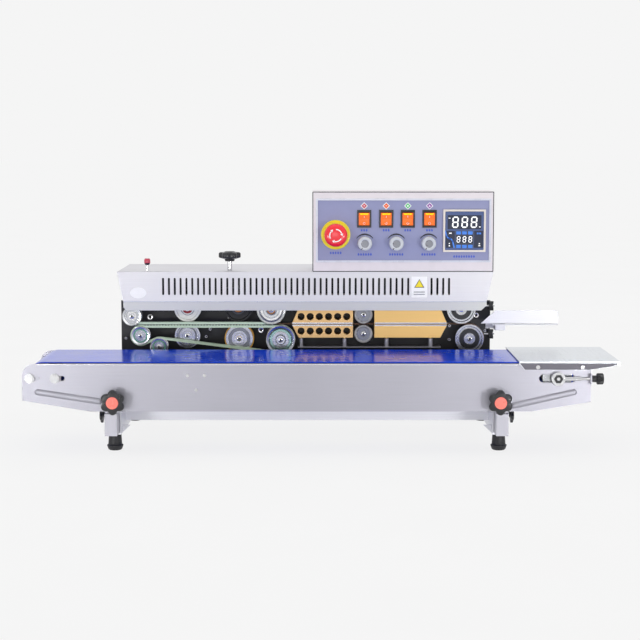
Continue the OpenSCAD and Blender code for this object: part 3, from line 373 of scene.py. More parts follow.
# %% Broken edges
BEVELS_MM = {
    1.4: "slide_bars", 1.0: "head_cover", 0.9: "upper_cooling_block lower_cooling_block",
    0.8: "conveyor_front_panel", 0.55: "infeed_tray",
    0.6: "conveyor_rear_panel control_box upper_heating_block lower_heating_block rocker_bezels",
    0.5: "base_pan rear_housing controller_case", 0.4: "feed_guide head_plate",
    0.3: "conveyor_fasteners block_rail",
}
for width, nodes in BEVELS_MM.items():
    for node in nodes.split():
        bevel = frame["nodes"][node].modifiers.new("broken_edge", "BEVEL")
        bevel.width, bevel.segments = width * MM, 2
        bevel.limit_method, bevel.angle_limit = "ANGLE", math.radians(50)
print("bevel widths in use:", len(BEVELS_MM))

# %% [markdown]
# ## Mesh helpers
# Three ways of making cover nearly every piece: an outline pushed through a thickness with a
# rounded rim, a profile turned round an axis as on a lathe, and a round bar between two points.
# All sizes are in millimetres and are turned to metres when the mesh is made.

# %% From a mesh to a placed piece


def place_piece(name, mesh_data, materials, body, slot_name, *nodes, smooth_deg=35):
    """Makes a piece, joins it to its body, and hides the CAD nodes that it stands for; slot_name is not used.
    """
    bmesh.ops.scale(mesh_data, vec=(MM, MM, MM), verts=mesh_data.verts)
    bmesh.ops.recalc_face_normals(mesh_data, faces=mesh_data.faces)
    mesh = bpy.data.meshes.new(name)
    mesh_data.to_mesh(mesh)
    mesh_data.free()
    for material in materials:
        mesh.materials.append(MATERIALS[material])
    mesh.shade_smooth()
    piece = bpy.data.objects.new(name, mesh)
    bpy.context.scene.collection.objects.link(piece)
    mesh.set_sharp_from_angle(angle=math.radians(smooth_deg))
    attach(piece, body)
    if nodes:
        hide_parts(*nodes)


# %% Outlines in the XZ plane


def shrink(outline, amount):
    """The outline moved inwards by an amount, corner by corner."""
    points = [Vector(point) for point in outline]
    count = len(points)
    area = sum(points[i].x * points[(i + 1) % count].y - points[(i + 1) % count].x * points[i].y
               for i in range(count))
    sign = 1 if area > 0 else -1
    result = []
    for i in range(count):
        before, after = points[i] - points[i - 1], points[(i + 1) % count] - points[i]
        normal_a = Vector((-before.y, before.x)).normalized() * sign
        normal_b = Vector((-after.y, after.x)).normalized() * sign
        corner = (normal_a + normal_b).normalized()
        result.append(tuple(points[i] + corner * (amount / max(0.35, corner.dot(normal_a)))))
    return result


def arc(x, z, radius, start_deg, sweep_deg, steps):
    """Points along an arc."""
    angles = [math.radians(start_deg + sweep_deg * i / steps) for i in range(steps + 1)]
    return [(x + radius * math.cos(a), z + radius * math.sin(a)) for a in angles]


def rounded_box(x, z, width, height, radius, steps=6):
    """A rectangle with round corners, about its middle."""
    points = []
    for k, (sx, sz) in enumerate(((1, 1), (-1, 1), (-1, -1), (1, -1))):
        points += arc(x + sx * (width / 2 - radius), z + sz * (height / 2 - radius), radius, 90 * k, 90, steps)
    return points


def capsule(start, end, width, steps=10):
    """A slot with round ends between two centres."""
    way = math.degrees((Vector(end) - Vector(start)).angle_signed(Vector((1, 0))))
    return (arc(*end, width / 2, way - 90, 180, steps) + arc(*start, width / 2, way + 90, 180, steps))


def arc_band(x, z, inner, outer, start_deg, sweep_deg, steps=24):
    """A ring segment."""
    return (arc(x, z, outer, start_deg, sweep_deg, steps)
            + arc(x, z, inner, start_deg + sweep_deg, -sweep_deg, steps))


# %% Prisms, loops and domes


def add_rings(mesh_data, levels, material=0, caps=True):
    """Skins (outline, y) levels with faces, and closes both ends or joins them round."""
    rings = [[mesh_data.verts.new((x, y, z)) for x, z in points] for points, y in levels]
    faces = [mesh_data.faces.new(rings[0]), mesh_data.faces.new(rings[-1])] if caps else []
    for a, b in zip(rings, rings[1:] if caps else rings[1:] + rings[:1]):
        for i in range(len(a)):
            j = (i + 1) % len(a)
            faces.append(mesh_data.faces.new((a[i], a[j], b[j], b[i])))
    for face in faces:
        face.material_index = material


def add_prism(mesh_data, outline, near, far, material=0, rim=0.0):
    """An outline with thickness along Y, and a chamfered rim on its near face."""
    levels = [(outline, far), (outline, near + rim)] + ([(shrink(outline, rim), near)] if rim else [])
    add_rings(mesh_data, levels, material)


def add_loop(mesh_data, outer, inner, near, far, edge=0.3):
    """A band between two outlines, with its outer edges broken."""
    slim = shrink(outer, edge)
    add_rings(mesh_data, [(inner, near), (slim, near), (outer, near + edge), (outer, far - edge),
                          (slim, far), (inner, far)], caps=False)


def add_dome(mesh_data, outline, base_y, height, reach, steps=6, sink=0.2):
    """A rounded ridge standing on a face that looks along -Y."""
    angles = [math.pi / 2 * i / steps for i in range(steps + 1)]
    add_rings(mesh_data, [(shrink(outline, reach * (1 - math.cos(a))) if a else outline,
                           base_y + sink - (height + sink) * math.sin(a)) for a in angles])


# %% Turned pieces and bars


def add_turned(mesh_data, centre, axis, profile, segments=64, lobes=None):
    """Turns [(radius, along[, material])] round an axis. lobes(angle, radius) may reshape each ring."""
    spin = Vector((0, 0, 1)).rotation_difference(Vector(axis)).to_matrix()
    rings = []
    for radius, along, *_ in profile:
        ring = []
        for i in range(segments if radius else 1):
            angle = 2 * math.pi * i / segments
            r = lobes(angle, radius) if lobes and radius else radius
            ring.append(mesh_data.verts.new(
                Vector(centre) + spin @ Vector((r * math.cos(angle), r * math.sin(angle), along))))
        rings.append(ring)
    for a, b, point in zip(rings, rings[1:], profile):
        for i in range(segments):
            j = (i + 1) % segments
            corners = dict.fromkeys([a[i % len(a)], a[j % len(a)], b[j % len(b)], b[i % len(b)]])
            if len(corners) > 2:
                mesh_data.faces.new(list(corners)).material_index = point[2] if len(point) > 2 else 0


def add_bar(mesh_data, start, end, radius, material=0):
    """A round bar with slightly chamfered ends."""
    way = Vector(end) - Vector(start)
    edge = min(0.4, radius / 3)
    outline = [(0, 0), (radius - edge, 0), (radius, edge), (radius, way.length - edge),
               (radius - edge, way.length), (0, way.length)]
    add_turned(mesh_data, start, way.normalized(), [(*point, material) for point in outline], 20)


print("mesh helpers ready")

# %% [markdown]
# ## Clamp knobs
# The star knobs are ABS moulded round a steel stud, with a coral cap pressed into the top. A
# lathe profile gives the body, and a function that swells the radius six times round turns it
# into the star, so lobes and valleys stay smooth. The swelling fades towards the middle, where
# the real knob is round again.

# %% Star knobs
LOBES = 6
STAR_BODY = [(0, 0, 2), (0.42, 0, 0), (0.46, 0.2, 0), (0.8, 0.3, 0), (0.96, 0.36, 0), (1, 0.46, 0),
             (1, 0.74, 0), (0.97, 0.83, 0), (0.88, 0.9, 0), (0.62, 0.92, 0)]
STAR_CAP = [(0.48, 0.92, 1), (0.48, 0.95, 1), (0.43, 0.99, 1), (0.2, 1, 1), (0, 1, 1)]


def star_lobes(outer, turn_deg):
    """Radius round the knob: full at each lobe, a fifth less in the valleys, round near the middle."""
    def radius_at(angle, radius):
        depth = 0.22 * min(1, max(0, radius / outer - 0.5) / 0.35)
        wave = 0.5 + 0.5 * math.cos(LOBES * (angle - math.radians(turn_deg)))
        return radius * (1 - depth * (1 - wave ** 0.55))
    return radius_at


def star_knob(node, seat, axis, outer, height, turn_deg, bars, cap="abs_coral_cap"):
    """bars: [(start, end, radius)] for the stud and its nut."""
    mesh_data = bmesh.new()
    profile = [(outer * r, height * h, material) for r, h, material in STAR_BODY + STAR_CAP]
    add_turned(mesh_data, seat, axis, profile, 120, star_lobes(outer, turn_deg))
    for start, end, radius in bars:
        add_bar(mesh_data, start, end, radius, 2)
    place_piece(f"{node}_star", mesh_data, ["abs_black", cap, "zinc_plated"], node, "black_plastic", node)


FRONT_KNOB_H, SIDE_KNOB_H, TOP_KNOB_H = 21, 8.5, 17
for side in ("left", "right"):
    node = f"front_knob_{side}"
    low, high = span(node)
    x, _, z = axis_point(f"{node}_turn")
    seat_y = low[1] + FRONT_KNOB_H
    star_knob(node, (x, seat_y, z), (0, -1, 0), 20.2, FRONT_KNOB_H, 90,
              [((x, seat_y - 2, z), (x, high[1], z), 4), ((x, seat_y - 1, z), (x, seat_y + 7.7, z), 9),
               ((x, high[1] - 4, z), (x, high[1] - 1, z), 6.4)])

for side, way in (("left", -1), ("right", 1)):
    node = f"side_knob_{side}"
    low, high = span(node)
    _, y, z = axis_point(f"{node}_turn")
    outside, inside = (low[0], high[0]) if way < 0 else (high[0], low[0])
    star_knob(node, (outside - way * SIDE_KNOB_H, y, z), (way, 0, 0), (high[2] - low[2]) / 2, SIDE_KNOB_H, 0,
              [((outside - way * 7, y, z), (inside, y, z), 4)])

low, high = span("pressure_knob")
x, y, _ = axis_point("pressure_knob_turn")
star_knob("pressure_knob", (x, y, high[2] - TOP_KNOB_H), (0, 0, 1), (high[0] - low[0]) / 2, TOP_KNOB_H, 0,
          [((x, y, low[2]), (x, y, high[2] - 14), 4)], cap="abs_black")
print("star knobs made: 5")

# %% [markdown]
# ## The belt
# The belt is one endless loop round two rollers, so its outline is a stadium. A chain of
# straight boxes would show corners at the ends; here the outline follows the roller with a
# point every three degrees.

# %% Conveyor belt
drive_axis, tail_axis = axis_point("drive_roller_spin"), axis_point("tail_roller_spin")
low, high = span("conveyor_belt")
BELT_T, END_STEPS = 1.7, 60


def stadium(radius):
    """Closed outline round the two rollers."""
    return (arc(tail_axis[0], tail_axis[2], radius, -90, 180, END_STEPS)
            + arc(drive_axis[0], drive_axis[2], radius, 90, 180, END_STEPS))


belt_r = high[2] - drive_axis[2]
loop = bmesh.new()
add_loop(loop, stadium(belt_r), stadium(belt_r - BELT_T), low[1], high[1])
place_piece("belt_loop", loop, ["pvc_belt_blue"], "conveyor", "blue_belt", "conveyor_belt")
print("belt loop radius", round(belt_r, 1), "mm")

# %% [markdown]
# ## Rubber feet
# Each foot is a moulded bumper held by a countersunk screw from above: a lathe profile with a
# waist, a chamfered sole, and a soft radius where it spreads on the bench.

# %% Feet
low, high = span("rubber_feet")
FOOT_R = 13.3
FOOT_PROFILE = [(0, 0), (8.6, 0), (9.6, 0.3), (11.2, 1.6), (12.9, 6.2), (FOOT_R, 7.4), (13.2, 8.4), (11.9, 9.1),
                (11.3, 10), (10.9, 16), (10.2, 26.5), (9.6, high[2] - 0.4), (8.6, high[2]), (0, high[2])]
feet = bmesh.new()
for x in (low[0] + FOOT_R, high[0] - FOOT_R):
    for y in (low[1] + FOOT_R, high[1] - FOOT_R):
        add_turned(feet, (x, y, 0), (0, 0, 1), FOOT_PROFILE, 72)
place_piece("feet_turned", feet, ["rubber_black"], "machine_frame", "rubber", "rubber_feet")
print("feet made: 4, height", round(high[2], 1), "mm")

# %% [markdown]
# ## Pressed ribs
# The two slanting ribs stiffen the conveyor's front panel: the press pushes a round-ended
# ridge out of the sheet. They could be displaced from the panel, but the panel keeps its CAD
# mesh, so each rib is a shallow dome of shrinking outlines seated on it.

# %% Ribs on the front panel
PANEL_FRONT_Y = -171.5
RIB_W, RIB_H = 10.0, 3.0
RIB_ENDS = (((-452.9, 101.7), (-355.2, 86.8)), ((309.1, 80.3), (404.2, 101.7)))
ribs = bmesh.new()
for start, end in RIB_ENDS:
    add_dome(ribs, capsule(start, end, RIB_W), PANEL_FRONT_Y, RIB_H, RIB_W * 0.48)
place_piece("pressed_ribs", ribs, ["stainless_brushed"], "conveyor", "brushed_steel", smooth_deg=60)
print("pressed ribs:", RIB_W, "mm wide,", RIB_H, "mm high")

# %% [markdown]
# ## Edge of the infeed tray
# The tray's right edge is rolled over, which makes a bright round lip that a bag slides over
# without catching. A round bar set flush into the corner gives that highlight. The skirt's face
# looks down at the bench, so it gets a dark sheet of painted shade, and the eye of the tension
# shaft holds a six-sided screw with a ring of painted shadow round it.

# %% Rolled tray edge and eye cap
low, high = span("infeed_tray")
tray_left, top = low[0], high[2]
ROLL_R, EDGE_R = 1.7, 1.2
rolled = bmesh.new()
add_bar(rolled, (high[0] - ROLL_R, low[1] + 0.5, top - ROLL_R), (high[0] - ROLL_R, high[1] - 0.5, top - ROLL_R),
        ROLL_R)
add_bar(rolled, (low[0] + 2, low[1] + EDGE_R, top - EDGE_R), (high[0] - 1.5, low[1] + EDGE_R, top - EDGE_R),
        EDGE_R)
place_piece("tray_rolled_edge", rolled, ["stainless_tray"], "conveyor", "brushed_steel")

# a dark sheet of painted shade on the skirt's face, which looks down at the bench
skirt = bmesh.new()
add_prism(skirt, [(low[0] + 1.4, top - 3.2), (low[0] + 9.4, top - 13.2), (high[0] - 50, top - 13.2),
                  (high[0] - 14.4, top - 7.8), (high[0] - 4, top - 5.2), (high[0] - 3, top - 2.6),
                  (low[0] + 1.4, top - 2.6)], low[1] - 0.12, low[1] + 0.5, rim=0.1)
place_piece("tray_skirt_painted_shade", skirt, ["tray_shadow_paint"], "conveyor", "brushed_steel")

eye_y = span("tail_shaft")[0][1]
x, _, z = tail_axis
for name, depth, material, sides, profile in (
        ("eye_socket_screw", 0.6, "abs_black", 6,
         [(0, 0), (7.6, 0), (7.6, 0.5), (6.8, 1.1), (3.2, 1.1), (2.6, 0.3), (0, 0.3)]),
        # the dark ring is painted shadow round the screw in the eye
        ("eye_shadow_ring", 0.4, "motor_paint_grey", 48, [(0, 0), (8.4, 0), (8.4, 0.25), (0, 0.25)])):
    eye = bmesh.new()
    add_turned(eye, (x, eye_y + depth, z), (0, -1, 0), profile, sides)
    place_piece(name, eye, [material], "tail_shaft", "black_plastic")
print("tray edge and eye dressed")

# %% [markdown]
# ## Tension knob
# A knurled black knob on a bright screw. The knurls are 28 small flutes round the rim; a bump
# map would vanish in the outline, so the lathe function gives them as real shape.

# %% Tension knob
low, high = span("tension_knob")
_, y, z = axis_point("tension_knob_turn")
FLUTES, FLUTE_DEPTH, FLUTED_FROM_R = 28, 0.7, 8


def fluted(angle, radius):
    """Small flutes on the widest rings only."""
    return radius - FLUTE_DEPTH * (0.5 + 0.5 * math.cos(FLUTES * angle)) if radius > FLUTED_FROM_R else radius


screw = bmesh.new()
add_turned(screw, (high[0], y, z), (-1, 0, 0),
           [(0, 0.6), (3.2, 0.6), (3.6, 0), (7.6, 0), (8.6, 0.8), (9, 1.6), (9, 9.4), (8.6, 10.2), (6, 11),
            (5.5, 11.6), (5.5, 18), (0, 18)], 168, fluted)
add_bar(screw, (low[0], y, z), (high[0] - 10, y, z), 2.2, 1)
place_piece("tension_knob_fluted", screw, ["abs_black", "zinc_plated"], "tension_knob", "black_plastic",
            "tension_knob")
print("tension knob:", FLUTES, "flutes")

# %% [markdown]
# ## Emergency stop
# A mushroom head of glossy red ABS over a yellow collar. Its crown is a shallow dome that
# falls into a round rim, and three white arrows show which way to turn it to let it go.

# %% Stop button
low, high = span("stop_button")
stop_x, stop_z = (low[0] + high[0]) / 2, (low[2] + high[2]) / 2
stop_r, stop_depth = (high[0] - low[0]) / 2, high[1] - low[1]
CROWN = [(0, 0), (0.35, 0.15), (0.62, 0.8), (0.8, 1.9), (0.9, 3.3), (0.97, 5.2), (1, 7.2), (1, 11.4),
         (0.97, 12.8), (0.9, 14)]
mushroom = bmesh.new()
add_turned(mushroom, (stop_x, low[1], stop_z), (0, 1, 0),
           [(stop_r * share, y) for share, y in CROWN]
           + [(12, 16), (10, 18), (10, stop_depth), (0, stop_depth)], 96)
place_piece("stop_mushroom", mushroom, ["abs_red"], "stop_button", "red_plastic", "stop_button")

arrows = bmesh.new()
for turn in (20, 140, 260):
    add_prism(arrows, arc_band(stop_x, stop_z, 9.4, 11.2, turn, 70), low[1] + 0.15, low[1] + 1.6)
    tip = math.radians(turn - 3)
    side = Vector((math.cos(tip), math.sin(tip)))
    ahead = Vector((side.y, -side.x))
    middle = Vector((stop_x, stop_z)) + side * 10.3
    add_prism(arrows, [tuple(middle + side * 2.6), tuple(middle - side * 2.6), tuple(middle + ahead * 4.2)],
              low[1] + 0.15, low[1] + 1.8)
place_piece("stop_arrows", arrows, ["print_white"], "stop_button", "white_plastic")

low, high = span("stop_collar")
collar_depth = high[1] - low[1]
collar = bmesh.new()
add_turned(collar, (stop_x, low[1], stop_z), (0, 1, 0),
           [(10.2, 0), (23.6, 0), (24.6, 0.4), (25, 1.2), (25, 3), (11.3, 3), (11.3, collar_depth),
            (10.2, collar_depth), (10.2, 0)], 96)
place_piece("stop_collar_turned", collar, ["nylon_yellow"], "machine_frame", "yellow_plastic", "stop_collar")
print("stop button and collar made")

# %% [markdown]
# ## Rocker switches
# Lit rockers are moulded in amber polycarbonate with a lamp behind them, and they glow faintly;
# the yellow band at the top of the raised half is a painted highlight that glows too. Each
# rocker tilts about its own pivot, with a line and a ring as the usual signs for on and off.

# %% Rockers
ROCKER_TILT = 10
ROCKER_SHAPE = [(-3.2, -11), (-1.4, 0), (-3.2, 11), (4, 9), (6, 0), (4, -9)]
RING_STEPS = 16


def rocker_piece(number):
    node = f"rocker_{number}"
    low, high = span(node)
    _, pivot_y, pivot_z = axis_point(f"{node}_tilt")
    pivot = Vector(((low[0] + high[0]) / 2, pivot_y, pivot_z))
    half = (high[0] - low[0]) / 2
    tilt = Matrix.Rotation(math.radians(ROCKER_TILT), 3, "X")

    body = bmesh.new()
    rings = [[body.verts.new(pivot + tilt @ Vector((side * half, y, z))) for y, z in ROCKER_SHAPE]
             for side in (-1, 1)]
    body.faces.new(rings[0])
    body.faces.new(rings[1])
    for i in range(len(ROCKER_SHAPE)):
        j = (i + 1) % len(ROCKER_SHAPE)
        body.faces.new((rings[0][i], rings[0][j], rings[1][j], rings[1][i]))
    bmesh.ops.bevel(body, geom=body.edges[:], offset=0.7, segments=3, profile=0.6, affect="EDGES")
    place_piece(f"{node}_lit", body, ["polycarbonate_amber"], node, "amber_plastic", node, smooth_deg=30)

    marks_and_highlight = bmesh.new()

    def add_patch(points, z_sign, material, lift=0.06):
        """Ink or painted highlight on one of the rocker's two sloping faces: points are (across, along)."""
        face = [marks_and_highlight.verts.new(pivot + tilt @ Vector((across, -1.4 - 1.8 * abs(along) / 11 - lift,
                                                       z_sign * abs(along)))) for across, along in points]
        marks_and_highlight.faces.new(face).material_index = material

    # the yellow band at the top is a painted highlight
    add_patch([(-half + 2, 8.2), (-half / 2, 7.2), (0, 7.8), (half / 2, 7.2), (half - 2, 8.2), (half - 2, 10),
               (-half + 2, 10)], 1, 1)
    add_patch([(-0.45, 2.2), (0.45, 2.2), (0.45, 5.4), (-0.45, 5.4)], 1, 0)
    for i in range(RING_STEPS):
        a, b = (2 * math.pi * k / RING_STEPS for k in (i, i + 1))
        corners = ((1.4, a), (2.1, a), (2.1, b), (1.4, b))
        add_patch([(r * math.cos(t), 7.4 + r * math.sin(t)) for r, t in corners], -1, 0)
    bmesh.ops.solidify(marks_and_highlight, geom=marks_and_highlight.faces[:], thickness=0.05)
    place_piece(f"{node}_marks", marks_and_highlight, ["print_white", "painted_highlight_yellow"], node, "amber_plastic")


for number in range(1, 5):
    rocker_piece(number)
print("rockers made: 4")

# %% [markdown]
# ## Dials
# Silver-sprayed ABS dials: a straight skirt, a rounded shoulder, a flat top with a darker
# turned disc in its middle, and a short pointer groove. The black crescent above each one is
# printed on the panel, and so are the blue strokes of the labels.

# %% Dials and their scales
DIAL_TOP = [(0, 0.9, 1), (6.2, 0.9, 1), (6.6, 0.5), (7.2, 0.1), (9, 0), (10.4, 0.3), (11.4, 1.0), (11.9, 2.2),
            (12.3, 9)]
SCALE_STEPS = 24


def add_layer(mesh_data, outline, face_y, height, material=0, rim=0.0):
    """A thin layer on a face: ink, a sticker or a key."""
    add_prism(mesh_data, outline, face_y - height, face_y + 0.2, material, rim)


scales = bmesh.new()
for number in range(1, 4):
    node = f"dial_{number}"
    low, high = span(node)
    x, _, z = axis_point(f"{node}_turn")
    radius, depth = (high[0] - low[0]) / 2, high[1] - low[1]
    dial = bmesh.new()
    add_turned(dial, (x, low[1], z), (0, 1, 0),
               DIAL_TOP + [(radius - 0.1, 14.6), (radius, 15), (radius, 15.6), (3, 15.6), (3, depth),
                           (0, depth)], 96)
    add_prism(dial, capsule((x - 4.6, z - 7.6), (x - 5.6, z - 9.2), 1.4), low[1] - 0.05, low[1] + 0.8, 2)
    place_piece(f"{node}_knob", dial, ["abs_silver_dial", "aluminium_grey", "print_black"], node,
                "silver_plastic", node)
    crescent = arc(x, z, 16.8, 30, 120, SCALE_STEPS)
    for i in range(SCALE_STEPS + 1):
        angle = math.radians(150 - 120 * i / SCALE_STEPS)
        inner = 15.9 - 1.6 * math.sin(math.pi * i / SCALE_STEPS)
        crescent.append((x + inner * math.cos(angle), z + inner * math.sin(angle)))
    add_layer(scales, crescent, PANEL_Y, 0.12)
place_piece("dial_scales", scales, ["print_black"], "machine_frame", "blue_grey_panel")

# %% Labels without lettering
STROKE_PITCH, STROKE_H = 4.2, 4.4
STROKE_ROWS = ((0, 0.74, 0.34, 0.3), (0.36, 0.5, 0.2, 0.2), (-0.36, 0.6, 0.2, 0.2))
labels = bmesh.new()


def add_strokes(x, z, count):
    """A short row of blue blocks."""
    for k in range(count):
        middle = x + (k - (count - 1) / 2) * STROKE_PITCH
        for rise, width, height, radius in STROKE_ROWS:
            add_layer(labels, rounded_box(middle, z + STROKE_H * rise, STROKE_PITCH * width, STROKE_H * height,
                                          radius, 2), PANEL_Y, 0.1)


for kind, pieces, drop, strokes in (("rocker", 4, 8, 3), ("dial", 3, 6, 6)):
    for number in range(1, pieces + 1):
        low, high = span(f"{kind}_{number}")
        add_strokes((low[0] + high[0]) / 2, low[2] - drop, strokes)
add_strokes(stop_x, stop_z - 31, 5)
case_low, case_high = span("controller_case")
case_x, case_z = (case_low[0] + case_high[0]) / 2, (case_low[2] + case_high[2]) / 2
add_strokes(case_x, case_low[2] - 8, 9)
place_piece("panel_strokes", labels, ["print_blue"], "machine_frame", "blue_grey_panel")
print("dials, crescents and label strokes made")

# %% [markdown]
# ## Icons above the switches
# Four small diamonds, each a white square on its corner with a coloured one inside and a
# plain white shape, stand for the switches' functions.

# %% Diamonds


def diamond(x, z, half):
    return [(x + half, z), (x, z + half), (x - half, z), (x, z - half)]


def triangle(x, z, size):
    return [(x + size, z - size * 0.7), (x, z + size), (x - size, z - size * 0.7)]


icons = bmesh.new()
ICON_Z = span("rocker_bezels")[1][2] + 6.9
for number in range(1, 5):
    low, high = span(f"rocker_{number}")
    x = (low[0] + high[0]) / 2
    add_layer(icons, diamond(x, ICON_Z, 6.2), PANEL_Y, 0.15)
    add_layer(icons, diamond(x, ICON_Z, 4.7), PANEL_Y, 0.25, number)
    inner = (triangle(x, ICON_Z, 1.9) if number == 4
             else rounded_box(x, ICON_Z, 2.6, 0.9 if number < 3 else 2.6, 0.3, 3))
    add_layer(icons, inner, PANEL_Y, 0.35)
place_piece("switch_icons", icons, ["print_white", "slider_red", "print_orange", "print_green", "print_purple"],
            "machine_frame", "blue_grey_panel")
print("icons made: 4")

# %% [markdown]
# ## Temperature controller
# A cream bezel frames a dark window with three large seven-segment digits, a smaller row
# between two rows of blue keys, and a blue curve. Each digit is built from its seven
# segments, as the real display is, so a reader can light any number by choosing segments.

# %% Display face
FACE = case_high[0] - case_low[0] - 6.6
GLASS_Y = case_low[1] + 0.6
TOP_ROW, LOW_ROW = case_z + 14.5, case_z - 14.6
face = bmesh.new()
add_prism(face, rounded_box(case_x, case_z, FACE, FACE, 1.2), GLASS_Y, case_low[1] + 2.4, 0, 0.2)
for x_off, z, width, height, radius, rise, material in (
        (0, TOP_ROW, FACE - 8, 24, 0.8, 0.1, 1), (0, LOW_ROW, 31, 29, 0.8, 0.1, 2),
        (0, LOW_ROW, 28.5, 12.6, 0.6, 0.2, 1), (-24, LOW_ROW, 15.4, 29, 0.8, 0.1, 1),
        (24, LOW_ROW, 15.4, 29, 0.8, 0.1, 1)):
    add_prism(face, rounded_box(case_x + x_off, z, width, height, radius), GLASS_Y - rise, GLASS_Y + 0.3,
              material)
place_piece("controller_window", face, ["display_glass", "display_glass_top", "motor_paint_grey"],
            "machine_frame", "cream_plastic")

# %% Digits, keys and curve


def add_digit(mesh_data, x, z, width, height, stroke, level, segments="abcdefg", slant=0.06):
    """One seven-segment digit; every lit segment is a six-sided bar."""
    w, h, s = width / 2 - stroke / 2, height / 2 - stroke / 2, stroke / 2
    ends = {"a": ((-w, h), (w, h)), "b": ((w, h), (w, 0)), "c": ((w, 0), (w, -h)), "d": ((-w, -h), (w, -h)),
            "e": ((-w, 0), (-w, -h)), "f": ((-w, h), (-w, 0)), "g": ((-w, 0), (w, 0))}
    for segment in segments:
        start, end = Vector(ends[segment][0]), Vector(ends[segment][1])
        way = (end - start).normalized()
        start, end = start + way * s * 0.35, end - way * s * 0.35
        side = Vector((-way.y, way.x)) * s
        outline = [start, start + way * s + side, end - way * s + side, end, end - way * s - side,
                   start + way * s - side]
        add_layer(mesh_data, [(x + p.x + slant * p.y, z + p.y) for p in outline], GLASS_Y, level)


SMALL_MARKS = ((-25.5, 21.5, 3.4, 1.4), (26, 6.5, 2.6, 1.6), (-24, -4.2, 4.6, 1.8), (-25.5, -25.5, 2.2, 2.2),
               (-25.5, -21.5, 1.6, 1.6), (25.5, -25.5, 3.2, 1.4), (25.5, -22, 1.8, 1.8))
digits = bmesh.new()
for k in range(3):
    add_digit(digits, case_x - 15.5 + 15.8 * k, TOP_ROW, 10.8, 19.2, 2.3, 0.25)
    add_digit(digits, case_x - 10 + 10 * k, LOW_ROW, 6, 10.8, 1.3, 0.35)
for x_off, z_off, width, height in SMALL_MARKS:
    add_layer(digits, rounded_box(case_x + x_off, case_z + z_off, width, height, 0.4, 2), GLASS_Y, 0.25)
place_piece("controller_digits", digits, ["display_white"], "machine_frame", "white_plastic")

CURVE = [(-32.6, -0.5), (-30, -9.5), (-26.5, -13.5), (-23.4, -13), (-20, -17.5), (-17.6, -28)]
keys = bmesh.new()
for k in range(3):
    for z_off in (-3.6, -26.6):
        add_layer(keys, rounded_box(case_x - 10 + 10 * k, case_z + z_off, 8.2, 5.6, 0.9, 4), GLASS_Y, 0.5,
                  rim=0.3)
for (xa, za), (xb, zb) in zip(CURVE, CURVE[1:]):
    add_layer(keys, capsule((case_x + xa, case_z + za), (case_x + xb, case_z + zb), 2.4, 6), GLASS_Y, 0.3)
for x_off in (22.5, 26.5):
    add_layer(keys, rounded_box(case_x + x_off, case_z - 4.5, 3.2, 3.2, 0.4, 2), GLASS_Y, 0.2)
place_piece("controller_keys", keys, ["display_blue"], "machine_frame", "blue_grey_panel")
print("controller window:", round(FACE, 1), "mm square, six digits and six keys")

# %% [markdown]
# ## Trim and edges of the control box
# The box is folded sheet in a rose-grey paint. A silver strip runs round the window, and a
# thin dark line of painted shade runs round the outer edge of the box. Both are frames, made as
# a loop between two outlines.

# %% Window trim and dark edge
low, high = span("control_box")
BOX_X, BOX_Z = (low[0], high[0]), (low[2], high[2])
WINDOW_X, WINDOW_Z = (-5.1, 286.1), (299.6, 401.6)
TRIM_W = 3.2


def frame_outline(x_range, z_range, grow, radius):
    """A rounded rectangle that grows or shrinks about the given ranges."""
    return rounded_box(sum(x_range) / 2, sum(z_range) / 2, x_range[1] - x_range[0] + 2 * grow,
                       z_range[1] - z_range[0] + 2 * grow, radius, 4)


trim = bmesh.new()
add_loop(trim, frame_outline(WINDOW_X, WINDOW_Z, TRIM_W, 1.2), frame_outline(WINDOW_X, WINDOW_Z, 0.05, 0.6),
         low[1] - 0.7, low[1] + 0.2)
place_piece("window_trim", trim, ["trim_silver_paint"], "machine_frame", "pink_grey_paint")
# a thin dark ring of painted shade round the box's outer edge
edge = bmesh.new()
add_loop(edge, frame_outline(BOX_X, BOX_Z, 0, 1.6), frame_outline(BOX_X, BOX_Z, -1.5, 0.8),
         low[1] - 0.25, low[1] + 0.5, 0.2)
place_piece("box_rim_painted_shade", edge, ["painted_shade_box_rim"], "machine_frame", "pink_grey_paint")
print("trim strip", TRIM_W, "mm wide")

# %% [markdown]
# ## Stickers on the cover
# A blank white oval, and a small label with a yellow triangle and two grey lines: vinyl
# stickers of 0.15 mm, kept free of any mark or word.

# %% Stickers
COVER_Y = span("head_cover")[0][1]
OVAL_X, OVAL_Z, OVAL_POINTS = -312, 244, 48
LABEL_X, LABEL_Z = 168, 254
stickers = bmesh.new()
turns = [2 * math.pi * i / OVAL_POINTS for i in range(OVAL_POINTS)]
add_layer(stickers, [(OVAL_X + 13.8 * math.cos(a), OVAL_Z + 9.4 * math.sin(a)) for a in turns], COVER_Y, 0.15)
add_layer(stickers, rounded_box(LABEL_X, LABEL_Z, 27, 36, 1.5), COVER_Y, 0.15)
add_layer(stickers, triangle(LABEL_X, LABEL_Z + 5, 8.6), COVER_Y, 0.25, 2)
add_layer(stickers, triangle(LABEL_X, LABEL_Z + 4.8, 6.9), COVER_Y, 0.35, 1)
for drop in (8.5, 12.5):
    add_layer(stickers, rounded_box(LABEL_X, LABEL_Z - drop, 19, 1.5, 0.4, 2), COVER_Y, 0.25, 3)
place_piece("cover_stickers", stickers, ["label_vinyl_white", "label_vinyl_yellow", "print_black",
                                         "aluminium_grey"], "machine_frame", "white_plastic")
print("stickers: 2, both without lettering")

# %% [markdown]
# ## Faces of the wheels
# Each wheel keeps its CAD body and gets what a fitter would see on its face: a coloured web
# between rim and hub, a bright hub ring, and the socket screw that holds it on the shaft.
# Everything rides on the wheel, so the screw turns with it.

# %% Wheel faces
TURNED, GREY, ZINC = "aluminium_turned", "aluminium_grey", "zinc_plated"


